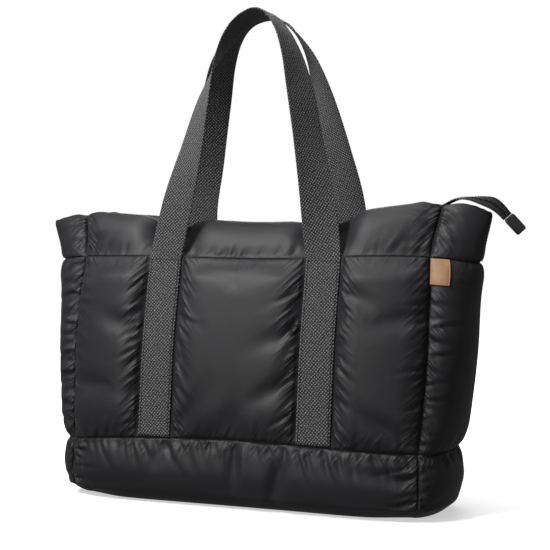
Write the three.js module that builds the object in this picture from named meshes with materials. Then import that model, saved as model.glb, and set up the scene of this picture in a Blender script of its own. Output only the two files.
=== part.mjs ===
import * as THREE from "three";

// Puffer tote bag: padded nylon panels, two webbing handles and a zipped top.
// Millimetres, +Z up, X along the width, the front faces -Y, and the bag rests on z = 0.
// Width is measured between the corner seams, and each padded wall is hollow behind.

// Body, measured at its seams
const bodyWidth = 398;
const baseDepth = 114;
const rimDepth = 64;
const baseSeamHeight = 73;
const rimHeight = 270;
const topHeight = 320;
const panelBow = 15;
const gussetReach = 48;
const bodyLean = 2.7;

// Opening between the collars, and how far their zip edges sink below the top
const zipOpening = 16.6;
const zipSink = 7;

// Padding: total wall thickness at a seam, and what the filling adds outside and inside
const seamThickness = 2.4;
const cellPuff = 11;
const sidePuff = 8;
const collarPuff = 8;
const wingPuff = 6;
const innerPuff = 3.5;
const bandPuff = 12;
const bayDepth = 11;
const bayWidth = 24;
const gatherDepth = 2.4;
const gatherPitch = 34;

// How far from each seam the filling takes to swell to its full height
const baseSwell = 42;
const rimSwell = 28;
const middleCellSwell = 40;
const sideCellSwell = 30;
const cornerSwell = 26;
const gussetRimSwell = 24;
const wingSwell = 20;
const wingTopSwell = 22;
const bandCornerSwell = 24;

// Length up the leaning collar, as a share of its height
const collarSlope = 1.3;

// Base band and bottom panel
const bandBulge = 7;
const bottomInset = 24;
const cornerInset = 9;
const cornerReach = 60;
const bottomThickness = 4;

// Webbing handles
const strapWidth = 38;
const strapThickness = 2;
const strapSpacing = 184;
const strapMargin = 2;
const strapFootLevel = 0.012;
const strapHeadLevel = 0.985;
const handleHeight = 538;
const handleGap = 1;
const frontHandleLean = 8;
const backHandleLean = -3;

// Zip, its free tail and its end tab. zipShare is the zip's share of the width at the top.
const zipShare = 0.92;
const tapeThickness = 0.8;
const tailWidth = 25;
const coilWidth = 5;
const coilHeight = 1.6;
const tailLength = 83;
const tailRise = 17.5;
const tabLength = 21;
const tabThickness = 3;
const sliderLength = 14;
const sliderWidth = 9;
const sliderHeight = 4;

// Leather label
const labelSize = 26;
const labelThickness = 1.5;
const labelGap = 0.75;
const labelWrap = 1.62;
const labelStart = -0.985;
const labelTopLevel = 0.995;

// Gap between pieces that touch on the real bag
const clearance = 0.3;

// Corner seams face this far round from the panels, in degrees
const cornerTurn = 30;

// Body levels: 0 is the base seam, 1 the rim seam and 2 the zip edge.
// width is a share of bodyWidth, reach of gussetReach, bow of panelBow and lean of bodyLean.
// inward goes from baseDepth to rimDepth up to level 1, then from rimDepth to the zip opening.
// rise is a share of the collar's height, tilt turns the wall to face upwards, in degrees,
// bay is a share of bayDepth, and sink of zipSink.
const bodyColumns = ["level", "width", "inward", "reach", "bow", "lean", "rise", "tilt", "bay", "sink"];
const bodyLevels = namedRows(bodyColumns, [
  [0.0, 1.0, 0.0, 0.47, 1.0, 0.0, 0.0, 0, 0, 0],
  [0.16, 1.006, 0.11, 0.56, 1.06, 0.2, 0.0, 0, 0, 0],
  [0.5, 1.02, 0.38, 0.66, 1.15, 0.6, 0.0, 0, 0, 0],
  [0.85, 1.017, 0.8, 0.76, 1.06, 0.9, 0.0, 0, 0, 0],
  [1.0, 1.013, 1.0, 0.89, 1.0, 1.0, 0.0, 0, 0, 0],
  [1.25, 1.022, 1.33, 0.89, 0.95, 0.8, 0.35, 12, 0.7, 0],
  [1.5, 1.042, 1.65, 0.93, 0.82, 0.5, 0.7, 30, 1.0, 0],
  [1.7, 1.056, 1.82, 0.97, 0.64, 0.3, 0.92, 52, 0.75, 0],
  [1.85, 1.058, 1.91, 1.0, 0.4, 0.2, 1.0, 76, 0.4, 0],
  [2.0, 1.058, 2.0, 1.0, 0.0, 0.1, 1.0, 92, 0, 1],
]);

// Seam heights across the bag: across is 1 at the right corner seam and past it at the gusset.
// base is a share of baseSeamHeight, rim of rimHeight, and top of the height of the collar.
const seamLine = [
  { across: -1.25, base: 0.92, rim: 0.984, top: 0.78 },
  { across: -1.0, base: 0.89, rim: 0.997, top: 0.91 },
  { across: -0.78, base: 0.95, rim: 1.0, top: 0.83 },
  { across: -0.55, base: 0.99, rim: 1.0, top: 0.77 },
  { across: -0.27, base: 1.02, rim: 0.995, top: 0.71 },
  { across: 0.0, base: 1.035, rim: 0.991, top: 0.67 },
  { across: 0.3, base: 1.02, rim: 0.991, top: 0.69 },
  { across: 0.52, base: 1.0, rim: 0.997, top: 0.79 },
  { across: 0.7, base: 0.99, rim: 1.002, top: 0.88 },
  { across: 1.0, base: 0.96, rim: 0.997, top: 1.03 },
  { across: 1.12, base: 0.955, rim: 0.988, top: 1.04 },
  { across: 1.25, base: 0.95, rim: 0.975, top: 0.89 },
];

// Base band from the bottom panel to the base seam: rise is a share of baseSeamHeight,
// out is a share of bandBulge above the widest row and of bottomInset below it,
// and tilt turns the wall to face down, in degrees.
const bandRows = [
  { along: 0.0, rise: 0.0, out: -1.0, tilt: 90 },
  { along: 0.12, rise: 0.03, out: -0.62, tilt: 68 },
  { along: 0.26, rise: 0.12, out: -0.24, tilt: 44 },
  { along: 0.42, rise: 0.28, out: 0.3, tilt: 18 },
  { along: 0.62, rise: 0.53, out: 0.9, tilt: 3 },
  { along: 0.82, rise: 0.79, out: 0.72, tilt: -4 },
  { along: 1.0, rise: 1.0, out: 0.0, tilt: 0 },
];

// Main dents of the padded panels. across and level place the middle, turn is the fold's angle
// from the horizontal in degrees, and the lengths are shares of cellPuff.
const panelDents = [
  { across: -0.9, level: 0.93, turn: 15, length: 2.2, width: 0.7, depth: 0.45 },
  { across: -0.86, level: 0.3, turn: -8, length: 2.6, width: 0.8, depth: 0.3 },
  { across: -0.64, level: 0.62, turn: -20, length: 2.4, width: 0.8, depth: 0.3 },
  { across: -0.28, level: 0.1, turn: 55, length: 2.4, width: 0.8, depth: 0.4 },
  { across: 0.0, level: 0.08, turn: 80, length: 2.0, width: 0.9, depth: 0.35 },
  { across: 0.3, level: 0.6, turn: 25, length: 2.8, width: 0.8, depth: 0.35 },
  { across: 0.29, level: 0.32, turn: 32, length: 2.8, width: 0.8, depth: 0.4 },
  { across: 0.64, level: 0.8, turn: -25, length: 2.6, width: 0.8, depth: 0.35 },
  { across: 0.88, level: 0.68, turn: 12, length: 2.4, width: 0.8, depth: 0.35 },
  { across: 0.84, level: 0.12, turn: -30, length: 2.6, width: 0.8, depth: 0.4 },
];

// Main folds of the base band, in the same columns. level is a share of the band's height.
const bandFolds = [
  { across: -0.93, level: 0.8, turn: 40, length: 1.6, width: 0.6, depth: 0.4 },
  { across: -0.4, level: 0.85, turn: 60, length: 1.8, width: 0.7, depth: 0.3 },
  { across: 0.02, level: 0.7, turn: 85, length: 2.2, width: 0.6, depth: 0.4 },
  { across: 0.27, level: 0.55, turn: 72, length: 2.8, width: 0.6, depth: 0.45 },
  { across: 0.86, level: 0.65, turn: -8, length: 2.2, width: 0.6, depth: 0.4 },
];

// Free stretch of each handle, from the rim to the top. rise is a share of the height above the
// rim, spread of half of strapSpacing, and inward of the way from the rim to the middle of the bag.
// leftTurn and rightTurn twist the two legs, in degrees.
const frontRun = [
  { rise: 0.0, spread: 1.0, inward: 0.0, leftTurn: 0, rightTurn: 0 },
  { rise: 0.22, spread: 0.89, inward: 0.18, leftTurn: 4, rightTurn: 32 },
  { rise: 0.44, spread: 0.75, inward: 0.33, leftTurn: 26, rightTurn: 53 },
  { rise: 0.66, spread: 0.609, inward: 0.43, leftTurn: 48, rightTurn: 61 },
  { rise: 0.82, spread: 0.465, inward: 0.58, leftTurn: 74, rightTurn: 76 },
  { rise: 0.92, spread: 0.31, inward: 0.77, leftTurn: 90, rightTurn: 86 },
  { rise: 0.98, spread: 0.148, inward: 0.93, leftTurn: 90, rightTurn: 90 },
  { rise: 1.0, spread: 0.0, inward: 1.0, leftTurn: 90, rightTurn: 90 },
];
const backRun = [
  { rise: 0.0, spread: 1.0, inward: 0.0, leftTurn: 0, rightTurn: 0 },
  { rise: 0.22, spread: 0.985, inward: 0.2, leftTurn: 4, rightTurn: 11 },
  { rise: 0.44, spread: 0.855, inward: 0.42, leftTurn: 34, rightTurn: 21 },
  { rise: 0.66, spread: 0.708, inward: 0.66, leftTurn: 49, rightTurn: 36 },
  { rise: 0.82, spread: 0.576, inward: 0.84, leftTurn: 67, rightTurn: 57 },
  { rise: 0.92, spread: 0.41, inward: 0.94, leftTurn: 86, rightTurn: 74 },
  { rise: 0.98, spread: 0.235, inward: 0.98, leftTurn: 90, rightTurn: 88 },
  { rise: 1.0, spread: 0.0, inward: 1.0, leftTurn: 90, rightTurn: 90 },
];

// Free tail of the zip past the right collar: out is a share of tailLength, lift of tailRise,
// drift a share of tailWidth towards the back, and roll lifts the back edge, in degrees.
const zipTail = [
  { out: 0.0, lift: 0.0, drift: 0.0, roll: 0 },
  { out: 0.18, lift: 0.5, drift: 0.0, roll: 0 },
  { out: 0.36, lift: 0.92, drift: 0.02, roll: 2 },
  { out: 0.53, lift: 1.0, drift: 0.04, roll: 8 },
  { out: 0.7, lift: 0.88, drift: 0.06, roll: 22 },
  { out: 0.82, lift: 0.7, drift: 0.09, roll: 30 },
  { out: 0.9, lift: 0.42, drift: 0.13, roll: 30 },
  { out: 1.0, lift: -0.1, drift: 0.2, roll: 26 },
];

const shellMaterial = { color: 0x26272a, roughness: 0.5, metalness: 0.0 };
const webbingMaterial = { color: 0x3f4042, roughness: 0.85, metalness: 0.0 };
const tapeMaterial = { color: 0x1d1e20, roughness: 0.8, metalness: 0.0 };
const zipMaterial = { color: 0x151517, roughness: 0.4, metalness: 0.3 };
const leatherMaterial = { color: 0xb98450, roughness: 0.6, metalness: 0.0 };

const radians = THREE.MathUtils.degToRad;
const mix = THREE.MathUtils.lerp;

// Rows of a table with their values named by its columns
function namedRows(columns, rows) {
  return rows.map((row) => Object.fromEntries(columns.map((column, i) => [column, row[i]])));
}

// Smooth reading of one column of a table between its rows
function readTable(rows, key, column, place) {
  const last = rows.length - 1;
  if (place <= rows[0][key]) return rows[0][column];
  if (place >= rows[last][key]) return rows[last][column];
  let low = 0;
  while (rows[low + 1][key] < place) low += 1;
  const high = low + 1;
  const slope = (a, b) => (rows[b][column] - rows[a][column]) / (rows[b][key] - rows[a][key]);
  const inner = slope(low, high);
  const startSlope = low > 0 ? (slope(low - 1, low) + inner) / 2 : inner;
  const endSlope = high < last ? (slope(high, high + 1) + inner) / 2 : inner;
  const step = rows[high][key] - rows[low][key];
  const t = (place - rows[low][key]) / step;
  const rest = 1 - t;
  return rows[low][column] * rest * rest * (1 + 2 * t)
    + rows[high][column] * t * t * (3 - 2 * t)
    + startSlope * step * t * rest * rest
    - endSlope * step * t * t * rest;
}

// Share of full padding at a distance from a seam
function swell(distance, reach) {
  const share = THREE.MathUtils.clamp(distance / reach, 0, 1);
  return Math.pow(1 - (1 - share) * (1 - share), 0.7);
}

// Sizes of the body at a level
function halfWidthAt(level) {
  return (bodyWidth / 2) * readTable(bodyLevels, "level", "width", level);
}

function halfDepthAt(level) {
  const inward = readTable(bodyLevels, "level", "inward", level);
  if (inward <= 1) return mix(baseDepth, rimDepth, inward) / 2;
  return mix(rimDepth, zipOpening, inward - 1) / 2;
}

function leanAt(level) {
  return bodyLean * readTable(bodyLevels, "level", "lean", level);
}

function bowAt(level) {
  return panelBow * readTable(bodyLevels, "level", "bow", level);
}

function heightAt(across, level) {
  const base = baseSeamHeight * readTable(seamLine, "across", "base", across);
  const rim = rimHeight * readTable(seamLine, "across", "rim", across);
  const top = (topHeight - rimHeight) * readTable(seamLine, "across", "top", across);
  if (level <= 1) return mix(base, rim, level);
  const sink = zipSink * readTable(bodyLevels, "level", "sink", level);
  return rim + top * readTable(bodyLevels, "level", "rise", level) - sink;
}

// Edges of the strap column of a panel, from the middle of the bag
const columnInner = strapSpacing / 2 - strapWidth / 2 - strapMargin;
const columnOuter = strapSpacing / 2 + strapWidth / 2 + strapMargin;
const columnShare = columnOuter / (bodyWidth / 2);

// How far a place on a panel lies between the strap column and the corner seam, 0 to 1
function cornerShare(along) {
  return Math.max(0, Math.abs(along) - columnShare) / (1 - columnShare);
}

// Distance of a place on a panel from the middle of the bag: only the side cells change with level
function panelDistance(along, level) {
  const flat = Math.min(Math.abs(along), columnShare) * (bodyWidth / 2);
  return flat + cornerShare(along) * (halfWidthAt(level) - columnOuter);
}

function facingUp(x, y, level) {
  const tilt = radians(readTable(bodyLevels, "level", "tilt", level));
  return new THREE.Vector3(x * Math.cos(tilt), y * Math.cos(tilt), Math.sin(tilt));
}

// A seam-line place on the front or back, with the way that its wall faces
function panelPlace(facing, along, level) {
  const corner = cornerShare(along);
  const x = leanAt(level) + panelDistance(along, level) * Math.sign(along);
  const y = facing * (halfDepthAt(level) + bowAt(level) * (1 - Math.pow(corner, 2.2)));
  const turn = radians(cornerTurn) * Math.pow(corner, 1.5) * Math.sign(along);
  return {
    point: new THREE.Vector3(x, y, heightAt(along, level)),
    outward: facingUp(Math.sin(turn), facing * Math.cos(turn), level),
  };
}

// The same for a gusset, with along going from its front seam to its back seam
function gussetPlace(facing, along, level) {
  const angle = radians(90 * along);
  const reach = gussetReach * readTable(bodyLevels, "level", "reach", level);
  const spread = halfWidthAt(level) + reach * Math.cos(angle);
  const across = (facing * spread) / halfWidthAt(level);
  const turn = radians((90 - cornerTurn) * along);
  const x = leanAt(level) + facing * (spread + clearance);
  return {
    point: new THREE.Vector3(x, halfDepthAt(level) * Math.sin(angle), heightAt(across, level)),
    outward: facingUp(facing * Math.cos(turn), Math.sin(turn), level),
  };
}

// Share of a dent or fold at a place on a wall, both in millimetres on the wall
function dentShare(dent, offsetAcross, offsetUp) {
  const turn = radians(dent.turn);
  const lengthwise = offsetAcross * Math.cos(turn) + offsetUp * Math.sin(turn);
  const sideways = offsetUp * Math.cos(turn) - offsetAcross * Math.sin(turn);
  const spread = lengthwise / (dent.length * cellPuff);
  const cut = sideways / (dent.width * cellPuff);
  return Math.exp(-spread * spread - cut * cut);
}

function dentDepth(dents, along, level, width, height) {
  let depth = 0;
  for (const dent of dents) {
    const offsetAcross = (along - dent.across) * width;
    const offsetUp = (level - dent.level) * height;
    depth += dent.depth * cellPuff * dentShare(dent, offsetAcross, offsetUp);
  }
  return depth;
}

// Small gathers that fade away from a seam
function gather(distance, alongSeam, phase) {
  const wave = 0.5 - 0.5 * Math.cos((2 * Math.PI * alongSeam) / gatherPitch + phase);
  return gatherDepth * wave * Math.exp(-distance / (gatherPitch / 2)) * swell(distance, gatherPitch / 4);
}

// Filling in front of a panel or collar: three cells between the corner seams and the strap columns
function cellFilling(along, level, puff, height, span) {
  const distance = panelDistance(along, level);
  if (distance >= columnInner && distance <= columnOuter) return 0;
  const upShare = swell(span * height, baseSwell) * swell((1 - span) * height, rimSwell);
  const toColumn = distance < columnInner ? columnInner - distance : distance - columnOuter;
  const toCorner = halfWidthAt(level) - distance;
  const sideCell = swell(toColumn, sideCellSwell) * swell(toCorner, cornerSwell);
  const across = distance < columnInner ? swell(toColumn, middleCellSwell) : sideCell;
  const nearest = Math.min(toColumn, distance < columnInner ? toColumn : toCorner);
  return puff * across * upShare - gather(nearest, span * height, along * 9) * upShare;
}

function panelPadding(along, level) {
  const height = rimHeight - baseSeamHeight;
  const filling = cellFilling(along, level, cellPuff, height, level);
  const dents = dentDepth(panelDents, along, level, halfWidthAt(level), height);
  return filling * Math.max(0.3, 1 - dents / cellPuff);
}

function collarPadding(along, level) {
  const height = (topHeight - rimHeight) * collarSlope;
  return cellFilling(along, level, collarPuff, height, level - 1);
}

function gussetPadding(along, level) {
  const height = rimHeight - baseSeamHeight;
  const toCorner = (1 - Math.abs(along)) * (baseDepth / 2);
  const upShare = swell(level * height, cornerSwell) * swell((1 - level) * height, gussetRimSwell);
  const filling = sidePuff * swell(toCorner, cornerSwell) * upShare;
  return filling - gather(toCorner, level * height, along * 2) * upShare;
}

function wingPadding(along, level) {
  const height = (topHeight - rimHeight) * collarSlope;
  const toCorner = (1 - Math.abs(along)) * gussetReach;
  const upShare = swell((level - 1) * height, wingSwell) * swell((2 - level) * height, wingTopSwell);
  return wingPuff * swell(toCorner, wingSwell) * upShare;
}

// How far the collar is pushed in behind a free strap
function collarBay(along, level) {
  const share = readTable(bodyLevels, "level", "bay", level);
  const offset = (panelDistance(along, level) - strapSpacing / 2) / bayWidth;
  return bayDepth * share * Math.exp(-offset * offset);
}

// Outer and inner faces of a padded wall from its seam-line place
function wallFaces(place, padding, bay) {
  const outer = place.point.clone().addScaledVector(place.outward, seamThickness / 2 + padding - bay);
  const innerShare = innerPuff * Math.min(1, padding / sidePuff);
  const inner = place.point.clone().addScaledVector(place.outward, -seamThickness / 2 - innerShare - bay);
  return { outer, inner };
}

// Closed solid between two grids of places that share their edges
function gridSolid(name, columns, rows, facesAt, look) {
  const positions = [];
  const count = columns.length * rows.length;
  const grid = columns.map((along) => rows.map((level) => facesAt(along, level)));
  for (const side of ["outer", "inner"]) {
    for (const line of grid) {
      for (const faces of line) positions.push(...faces[side].toArray());
    }
  }
  const index = [];
  const spot = (column, row, layer) => layer * count + column * rows.length + row;
  const quad = (a, b, c, d) => index.push(a, b, c, a, c, d);
  const lastColumn = columns.length - 1;
  const lastRow = rows.length - 1;
  for (let column = 0; column < lastColumn; column += 1) {
    const right = column + 1;
    for (let row = 0; row < lastRow; row += 1) {
      quad(spot(column, row, 0), spot(right, row, 0), spot(right, row + 1, 0), spot(column, row + 1, 0));
      quad(spot(column, row, 1), spot(column, row + 1, 1), spot(right, row + 1, 1), spot(right, row, 1));
    }
    quad(spot(column, 0, 1), spot(right, 0, 1), spot(right, 0, 0), spot(column, 0, 0));
    quad(
      spot(column, lastRow, 0), spot(right, lastRow, 0),
      spot(right, lastRow, 1), spot(column, lastRow, 1),
    );
  }
  for (let row = 0; row < lastRow; row += 1) {
    const above = row + 1;
    quad(spot(0, row, 0), spot(0, above, 0), spot(0, above, 1), spot(0, row, 1));
    quad(
      spot(lastColumn, row, 1), spot(lastColumn, above, 1),
      spot(lastColumn, above, 0), spot(lastColumn, row, 0),
    );
  }
  const geometry = new THREE.BufferGeometry();
  geometry.setAttribute("position", new THREE.Float32BufferAttribute(positions, 3));
  geometry.setIndex(facesOutward(positions, index) ? index : turnedOver(index));
  geometry.computeVertexNormals();
  return namedMesh(name, geometry, look);
}

function facesOutward(positions, index) {
  let volume = 0;
  const corner = (i) => new THREE.Vector3().fromArray(positions, index[i] * 3);
  for (let i = 0; i < index.length; i += 3) {
    volume += corner(i).dot(corner(i + 1).cross(corner(i + 2)));
  }
  return volume > 0;
}

function turnedOver(index) {
  const turned = [];
  for (let i = 0; i < index.length; i += 3) turned.push(index[i], index[i + 2], index[i + 1]);
  return turned;
}

function namedMesh(name, geometry, look) {
  const mesh = new THREE.Mesh(geometry, new THREE.MeshStandardMaterial(look));
  mesh.name = name;
  return mesh;
}

// Places between two ends, closer together towards the ends
function easedSpots(from, to, count) {
  const spots = [];
  for (let i = 0; i <= count; i += 1) {
    spots.push(mix(from, to, 0.5 - 0.5 * Math.cos((Math.PI * i) / count)));
  }
  return spots;
}

function evenSpots(from, to, count) {
  const spots = [];
  for (let i = 0; i <= count; i += 1) spots.push(mix(from, to, i / count));
  return spots;
}

// Columns of a panel: side cell, strap column, middle cell, strap column, side cell
function panelColumns(sideCount, middleCount) {
  const inner = columnInner / (bodyWidth / 2);
  const side = easedSpots(columnShare, 1, sideCount);
  const middle = easedSpots(-inner, inner, middleCount);
  return [...side.map((spot) => -spot).reverse(), ...middle, ...side];
}

const panelSpots = panelColumns(7, 10);
const gussetSpots = easedSpots(-1, 1, 10);

// Panels and gussets stop just short of the rim seam
const rimEdgeLevel = 1 - clearance / (rimHeight - baseSeamHeight);

// Rows of the collars and wings, from the rim seam to the zip edge
function collarRows() {
  return bodyLevels.filter((row) => row.level >= 1).map((row) => row.level);
}

function makePanels() {
  const rows = easedSpots(0, rimEdgeLevel, 15);
  const facesAt = (facing) => (along, level) =>
    wallFaces(panelPlace(facing, along, level), panelPadding(along, level), 0);
  return [
    gridSolid("front_panel", panelSpots, rows, facesAt(-1), shellMaterial),
    gridSolid("back_panel", panelSpots, rows, facesAt(1), shellMaterial),
  ];
}

function makeCollars() {
  const rows = collarRows();
  const facesAt = (facing) => (along, level) =>
    wallFaces(panelPlace(facing, along, level), collarPadding(along, level), collarBay(along, level));
  return [
    gridSolid("front_collar", panelSpots, rows, facesAt(-1), shellMaterial),
    gridSolid("back_collar", panelSpots, rows, facesAt(1), shellMaterial),
  ];
}

function gussetFaces(facing) {
  return (along, level) => wallFaces(gussetPlace(facing, along, level), gussetPadding(along, level), 0);
}

function makeGussets() {
  const rows = easedSpots(0, rimEdgeLevel, 13);
  return [
    gridSolid("left_gusset", gussetSpots, rows, gussetFaces(-1), shellMaterial),
    gridSolid("right_gusset", gussetSpots, rows, gussetFaces(1), shellMaterial),
  ];
}

function makeWings() {
  const rows = collarRows();
  const facesAt = (facing) => (along, level) =>
    wallFaces(gussetPlace(facing, along, level), wingPadding(along, level), 0);
  return [
    gridSolid("left_wing", gussetSpots, rows, facesAt(-1), shellMaterial),
    gridSolid("right_wing", gussetSpots, rows, facesAt(1), shellMaterial),
  ];
}

// Base band wall below a seam-line place: toCorner is the distance to the nearest corner seam
function bandFaces(place, along, row, toCorner) {
  const out = readTable(bandRows, "along", "out", row);
  const rise = readTable(bandRows, "along", "rise", row);
  const tilt = radians(readTable(bandRows, "along", "tilt", row));
  const cornerFill = swell(toCorner, bandCornerSwell);
  const bulge = bandBulge * (0.55 + 0.45 * cornerFill);
  const fold = dentDepth(bandFolds, along, rise, halfWidthAt(0), baseSeamHeight);
  const edge = swell(row, 0.45) * swell(1 - row, 0.4);
  const inset = bottomInset + cornerInset * (1 - THREE.MathUtils.smoothstep(toCorner, 0, cornerReach));
  const offset = (out > 0 ? out * bulge : out * inset) - fold * edge;
  const outer = place.point.clone().addScaledVector(place.outward, seamThickness / 2 + offset);
  outer.z = (place.point.z - clearance) * rise;
  const thickness = seamThickness + bandPuff * edge * cornerFill;
  const wallDirection = place.outward.clone().multiplyScalar(Math.cos(tilt));
  wallDirection.z = -Math.sin(tilt);
  return { outer, inner: outer.clone().addScaledVector(wallDirection, -thickness) };
}

function frontBandFaces(facing) {
  return (along, row) => {
    const toCorner = (1 - Math.abs(along)) * halfWidthAt(0);
    return bandFaces(panelPlace(facing, along, 0), along, row, toCorner);
  };
}

function sideBandFaces(facing) {
  return (along, row) => {
    const toCorner = (1 - Math.abs(along)) * (baseDepth / 2);
    return bandFaces(gussetPlace(facing, along, 0), facing * 2, row, toCorner);
  };
}

function makeBaseBand() {
  const rows = bandRows.map((row) => row.along);
  return [
    gridSolid("base_front", panelSpots, rows, frontBandFaces(-1), shellMaterial),
    gridSolid("base_back", panelSpots, rows, frontBandFaces(1), shellMaterial),
    gridSolid("base_left", gussetSpots, rows, sideBandFaces(-1), shellMaterial),
    gridSolid("base_right", gussetSpots, rows, sideBandFaces(1), shellMaterial),
  ];
}

// Flat bottom panel inside the lower edge of the base band
function makeBottom() {
  const panelsBack = [...panelSpots].reverse();
  const gussetsBack = [...gussetSpots].reverse();
  const runs = [
    { faces: frontBandFaces(-1), place: (along) => panelPlace(-1, along, 0), spots: panelSpots },
    { faces: sideBandFaces(1), place: (along) => gussetPlace(1, along, 0), spots: gussetSpots },
    { faces: frontBandFaces(1), place: (along) => panelPlace(1, along, 0), spots: panelsBack },
    { faces: sideBandFaces(-1), place: (along) => gussetPlace(-1, along, 0), spots: gussetsBack },
  ];
  const outline = [];
  for (const run of runs) {
    for (const along of run.spots) {
      const edge = run.faces(along, 0).outer.addScaledVector(run.place(along).outward, -clearance);
      outline.push(new THREE.Vector2(edge.x, edge.y));
    }
  }
  const spaced = outline.filter((spot, i) => i === 0 || spot.distanceTo(outline[i - 1]) > 2 * clearance);
  const shape = new THREE.Shape(spaced);
  const geometry = new THREE.ExtrudeGeometry(shape, { depth: bottomThickness, bevelEnabled: false });
  return namedMesh("base_bottom", geometry, shellMaterial);
}

// Strip with a rectangular section along stations, lifted square to its middle line
function stripSolid(name, stations, thickness, lift, look) {
  const sections = stations.map((station, i) => {
    const before = stations[Math.max(0, i - 1)].centre;
    const after = stations[Math.min(stations.length - 1, i + 1)].centre;
    const tangent = after.clone().sub(before).normalize();
    const across = station.across.clone();
    across.addScaledVector(tangent, -across.dot(tangent)).normalize();
    return { station, across, up: tangent.clone().cross(across).normalize() };
  });
  const facesAt = (side, i) => {
    const { station, across, up } = sections[i];
    const middle = station.centre.clone().addScaledVector(across, mix(station.low, station.high, side));
    return {
      outer: middle.clone().addScaledVector(up, lift - thickness / 2),
      inner: middle.clone().addScaledVector(up, lift + thickness / 2),
    };
  };
  return gridSolid(name, [0, 0.5, 1], stations.map((station, i) => i), facesAt, look);
}

// Centre of a sewn strap on its panel
function sewnCentre(facing, side, level) {
  const along = (side * strapSpacing) / bodyWidth;
  const place = panelPlace(facing, along, level);
  const x = leanAt(level) + (side * strapSpacing) / 2;
  const stand = seamThickness / 2 + clearance + strapThickness / 2;
  return new THREE.Vector3(x, place.point.y + facing * stand, place.point.z);
}

function sewnStations(facing, side) {
  const across = new THREE.Vector3(-side, 0, 0);
  const levels = evenSpots(strapFootLevel, strapHeadLevel, 9);
  return levels.map((level) => ({ centre: sewnCentre(facing, side, level), across }));
}

// Both legs of a handle's free stretch in one list, from the left rim end over to the right one
function wholeRun(run) {
  const left = run.map((row) => ({ ...row, spread: -row.spread, turn: row.leftTurn }));
  const right = run.slice(0, -1).reverse().map((row) => ({ ...row, turn: 180 - row.rightTurn }));
  return [...left, ...right];
}

function freeStations(facing, run, lean) {
  const rimEnd = sewnCentre(facing, -1, 1);
  const topOffset = (facing * (strapWidth + handleGap)) / 2;
  const rows = wholeRun(run);
  const points = rows.map((row) => new THREE.Vector3(
    leanAt(1) + (row.spread * strapSpacing) / 2 + lean * row.rise,
    mix(rimEnd.y, topOffset, row.inward),
    mix(rimEnd.z, handleHeight - strapThickness / 2, row.rise),
  ));
  const curve = new THREE.CatmullRomCurve3(points, false, "centripetal");
  const turns = rows.map((row, place) => ({ place, turn: row.turn }));
  return evenSpots(0, 1, 46).map((share) => {
    const turn = radians(readTable(turns, "place", "turn", share * (rows.length - 1)));
    return {
      centre: curve.getPoint(share),
      across: new THREE.Vector3(Math.cos(turn), facing * Math.sin(turn), 0),
    };
  });
}

function makeHandle(name, facing, run, lean) {
  const left = sewnStations(facing, -1);
  const right = sewnStations(facing, 1).reverse();
  const stations = [...left, ...freeStations(facing, run, lean), ...right].map((station) => ({
    ...station,
    low: -strapWidth / 2,
    high: strapWidth / 2,
  }));
  return stripSolid(name, stations, strapThickness, 0, webbingMaterial);
}

// Middle line of the zip: level with the collars' zip edges, then out along the free tail
function zipStations() {
  const halfLength = halfWidthAt(2) * zipShare;
  const slot = zipOpening / 2 - clearance;
  const stations = evenSpots(-halfLength, halfLength, 14).map((x) => ({
    centre: new THREE.Vector3(x, 0, heightAt(x / halfWidthAt(2), 2)),
    across: new THREE.Vector3(0, 1, 0),
    half: slot,
  }));
  const start = stations[stations.length - 1].centre;
  for (const place of evenSpots(0.08, 1, 12)) {
    const roll = radians(readTable(zipTail, "out", "roll", place));
    const wide = THREE.MathUtils.smoothstep(place, 0.25, 0.45);
    stations.push({
      centre: new THREE.Vector3(
        start.x + tailLength * place,
        tailWidth * readTable(zipTail, "out", "drift", place),
        start.z + tailRise * readTable(zipTail, "out", "lift", place),
      ),
      across: new THREE.Vector3(0, Math.cos(roll), Math.sin(roll)),
      half: mix(slot, tailWidth / 2, wide),
    });
  }
  return stations;
}

// Stands a box square on the zip at a station, lifted off its middle line
function seatOnZip(mesh, station, next, ahead, lift) {
  const run = next.centre.clone().sub(station.centre).normalize();
  const across = station.across.clone().addScaledVector(run, -station.across.dot(run)).normalize();
  const up = run.clone().cross(across);
  mesh.quaternion.setFromRotationMatrix(new THREE.Matrix4().makeBasis(run, across, up));
  mesh.position.copy(station.centre).addScaledVector(run, ahead).addScaledVector(up, lift);
  return mesh;
}

function makeZip() {
  const stations = zipStations();
  const split = clearance / 2;
  const front = stations.map((station) => ({ ...station, low: -station.half, high: -split }));
  const back = stations.map((station) => ({ ...station, low: split, high: station.half }));
  const coil = stations.map((station) => ({ ...station, low: -coilWidth / 2, high: coilWidth / 2 }));
  const coilLift = tapeThickness / 2 + clearance + coilHeight / 2;
  const sliderLift = coilLift + coilHeight / 2 + clearance + sliderHeight / 2;
  const tabBox = new THREE.BoxGeometry(tabLength, tailWidth, tabThickness);
  const sliderBox = new THREE.BoxGeometry(sliderLength, sliderWidth, sliderHeight);
  const tab = namedMesh("zip_end_tab", tabBox, shellMaterial);
  const slider = namedMesh("zip_slider", sliderBox, zipMaterial);
  const [beforeEnd, end] = stations.slice(-2);
  const pastEnd = { centre: end.centre.clone().multiplyScalar(2).sub(beforeEnd.centre) };
  return [
    stripSolid("zip_tape_front", front, tapeThickness, 0, tapeMaterial),
    stripSolid("zip_tape_back", back, tapeThickness, 0, tapeMaterial),
    stripSolid("zip_coil", coil, coilHeight, coilLift, zipMaterial),
    seatOnZip(tab, end, pastEnd, clearance + tabLength / 2, coilHeight / 2),
    seatOnZip(slider, stations[1], stations[2], sliderLength / 2, sliderLift),
  ];
}

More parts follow.
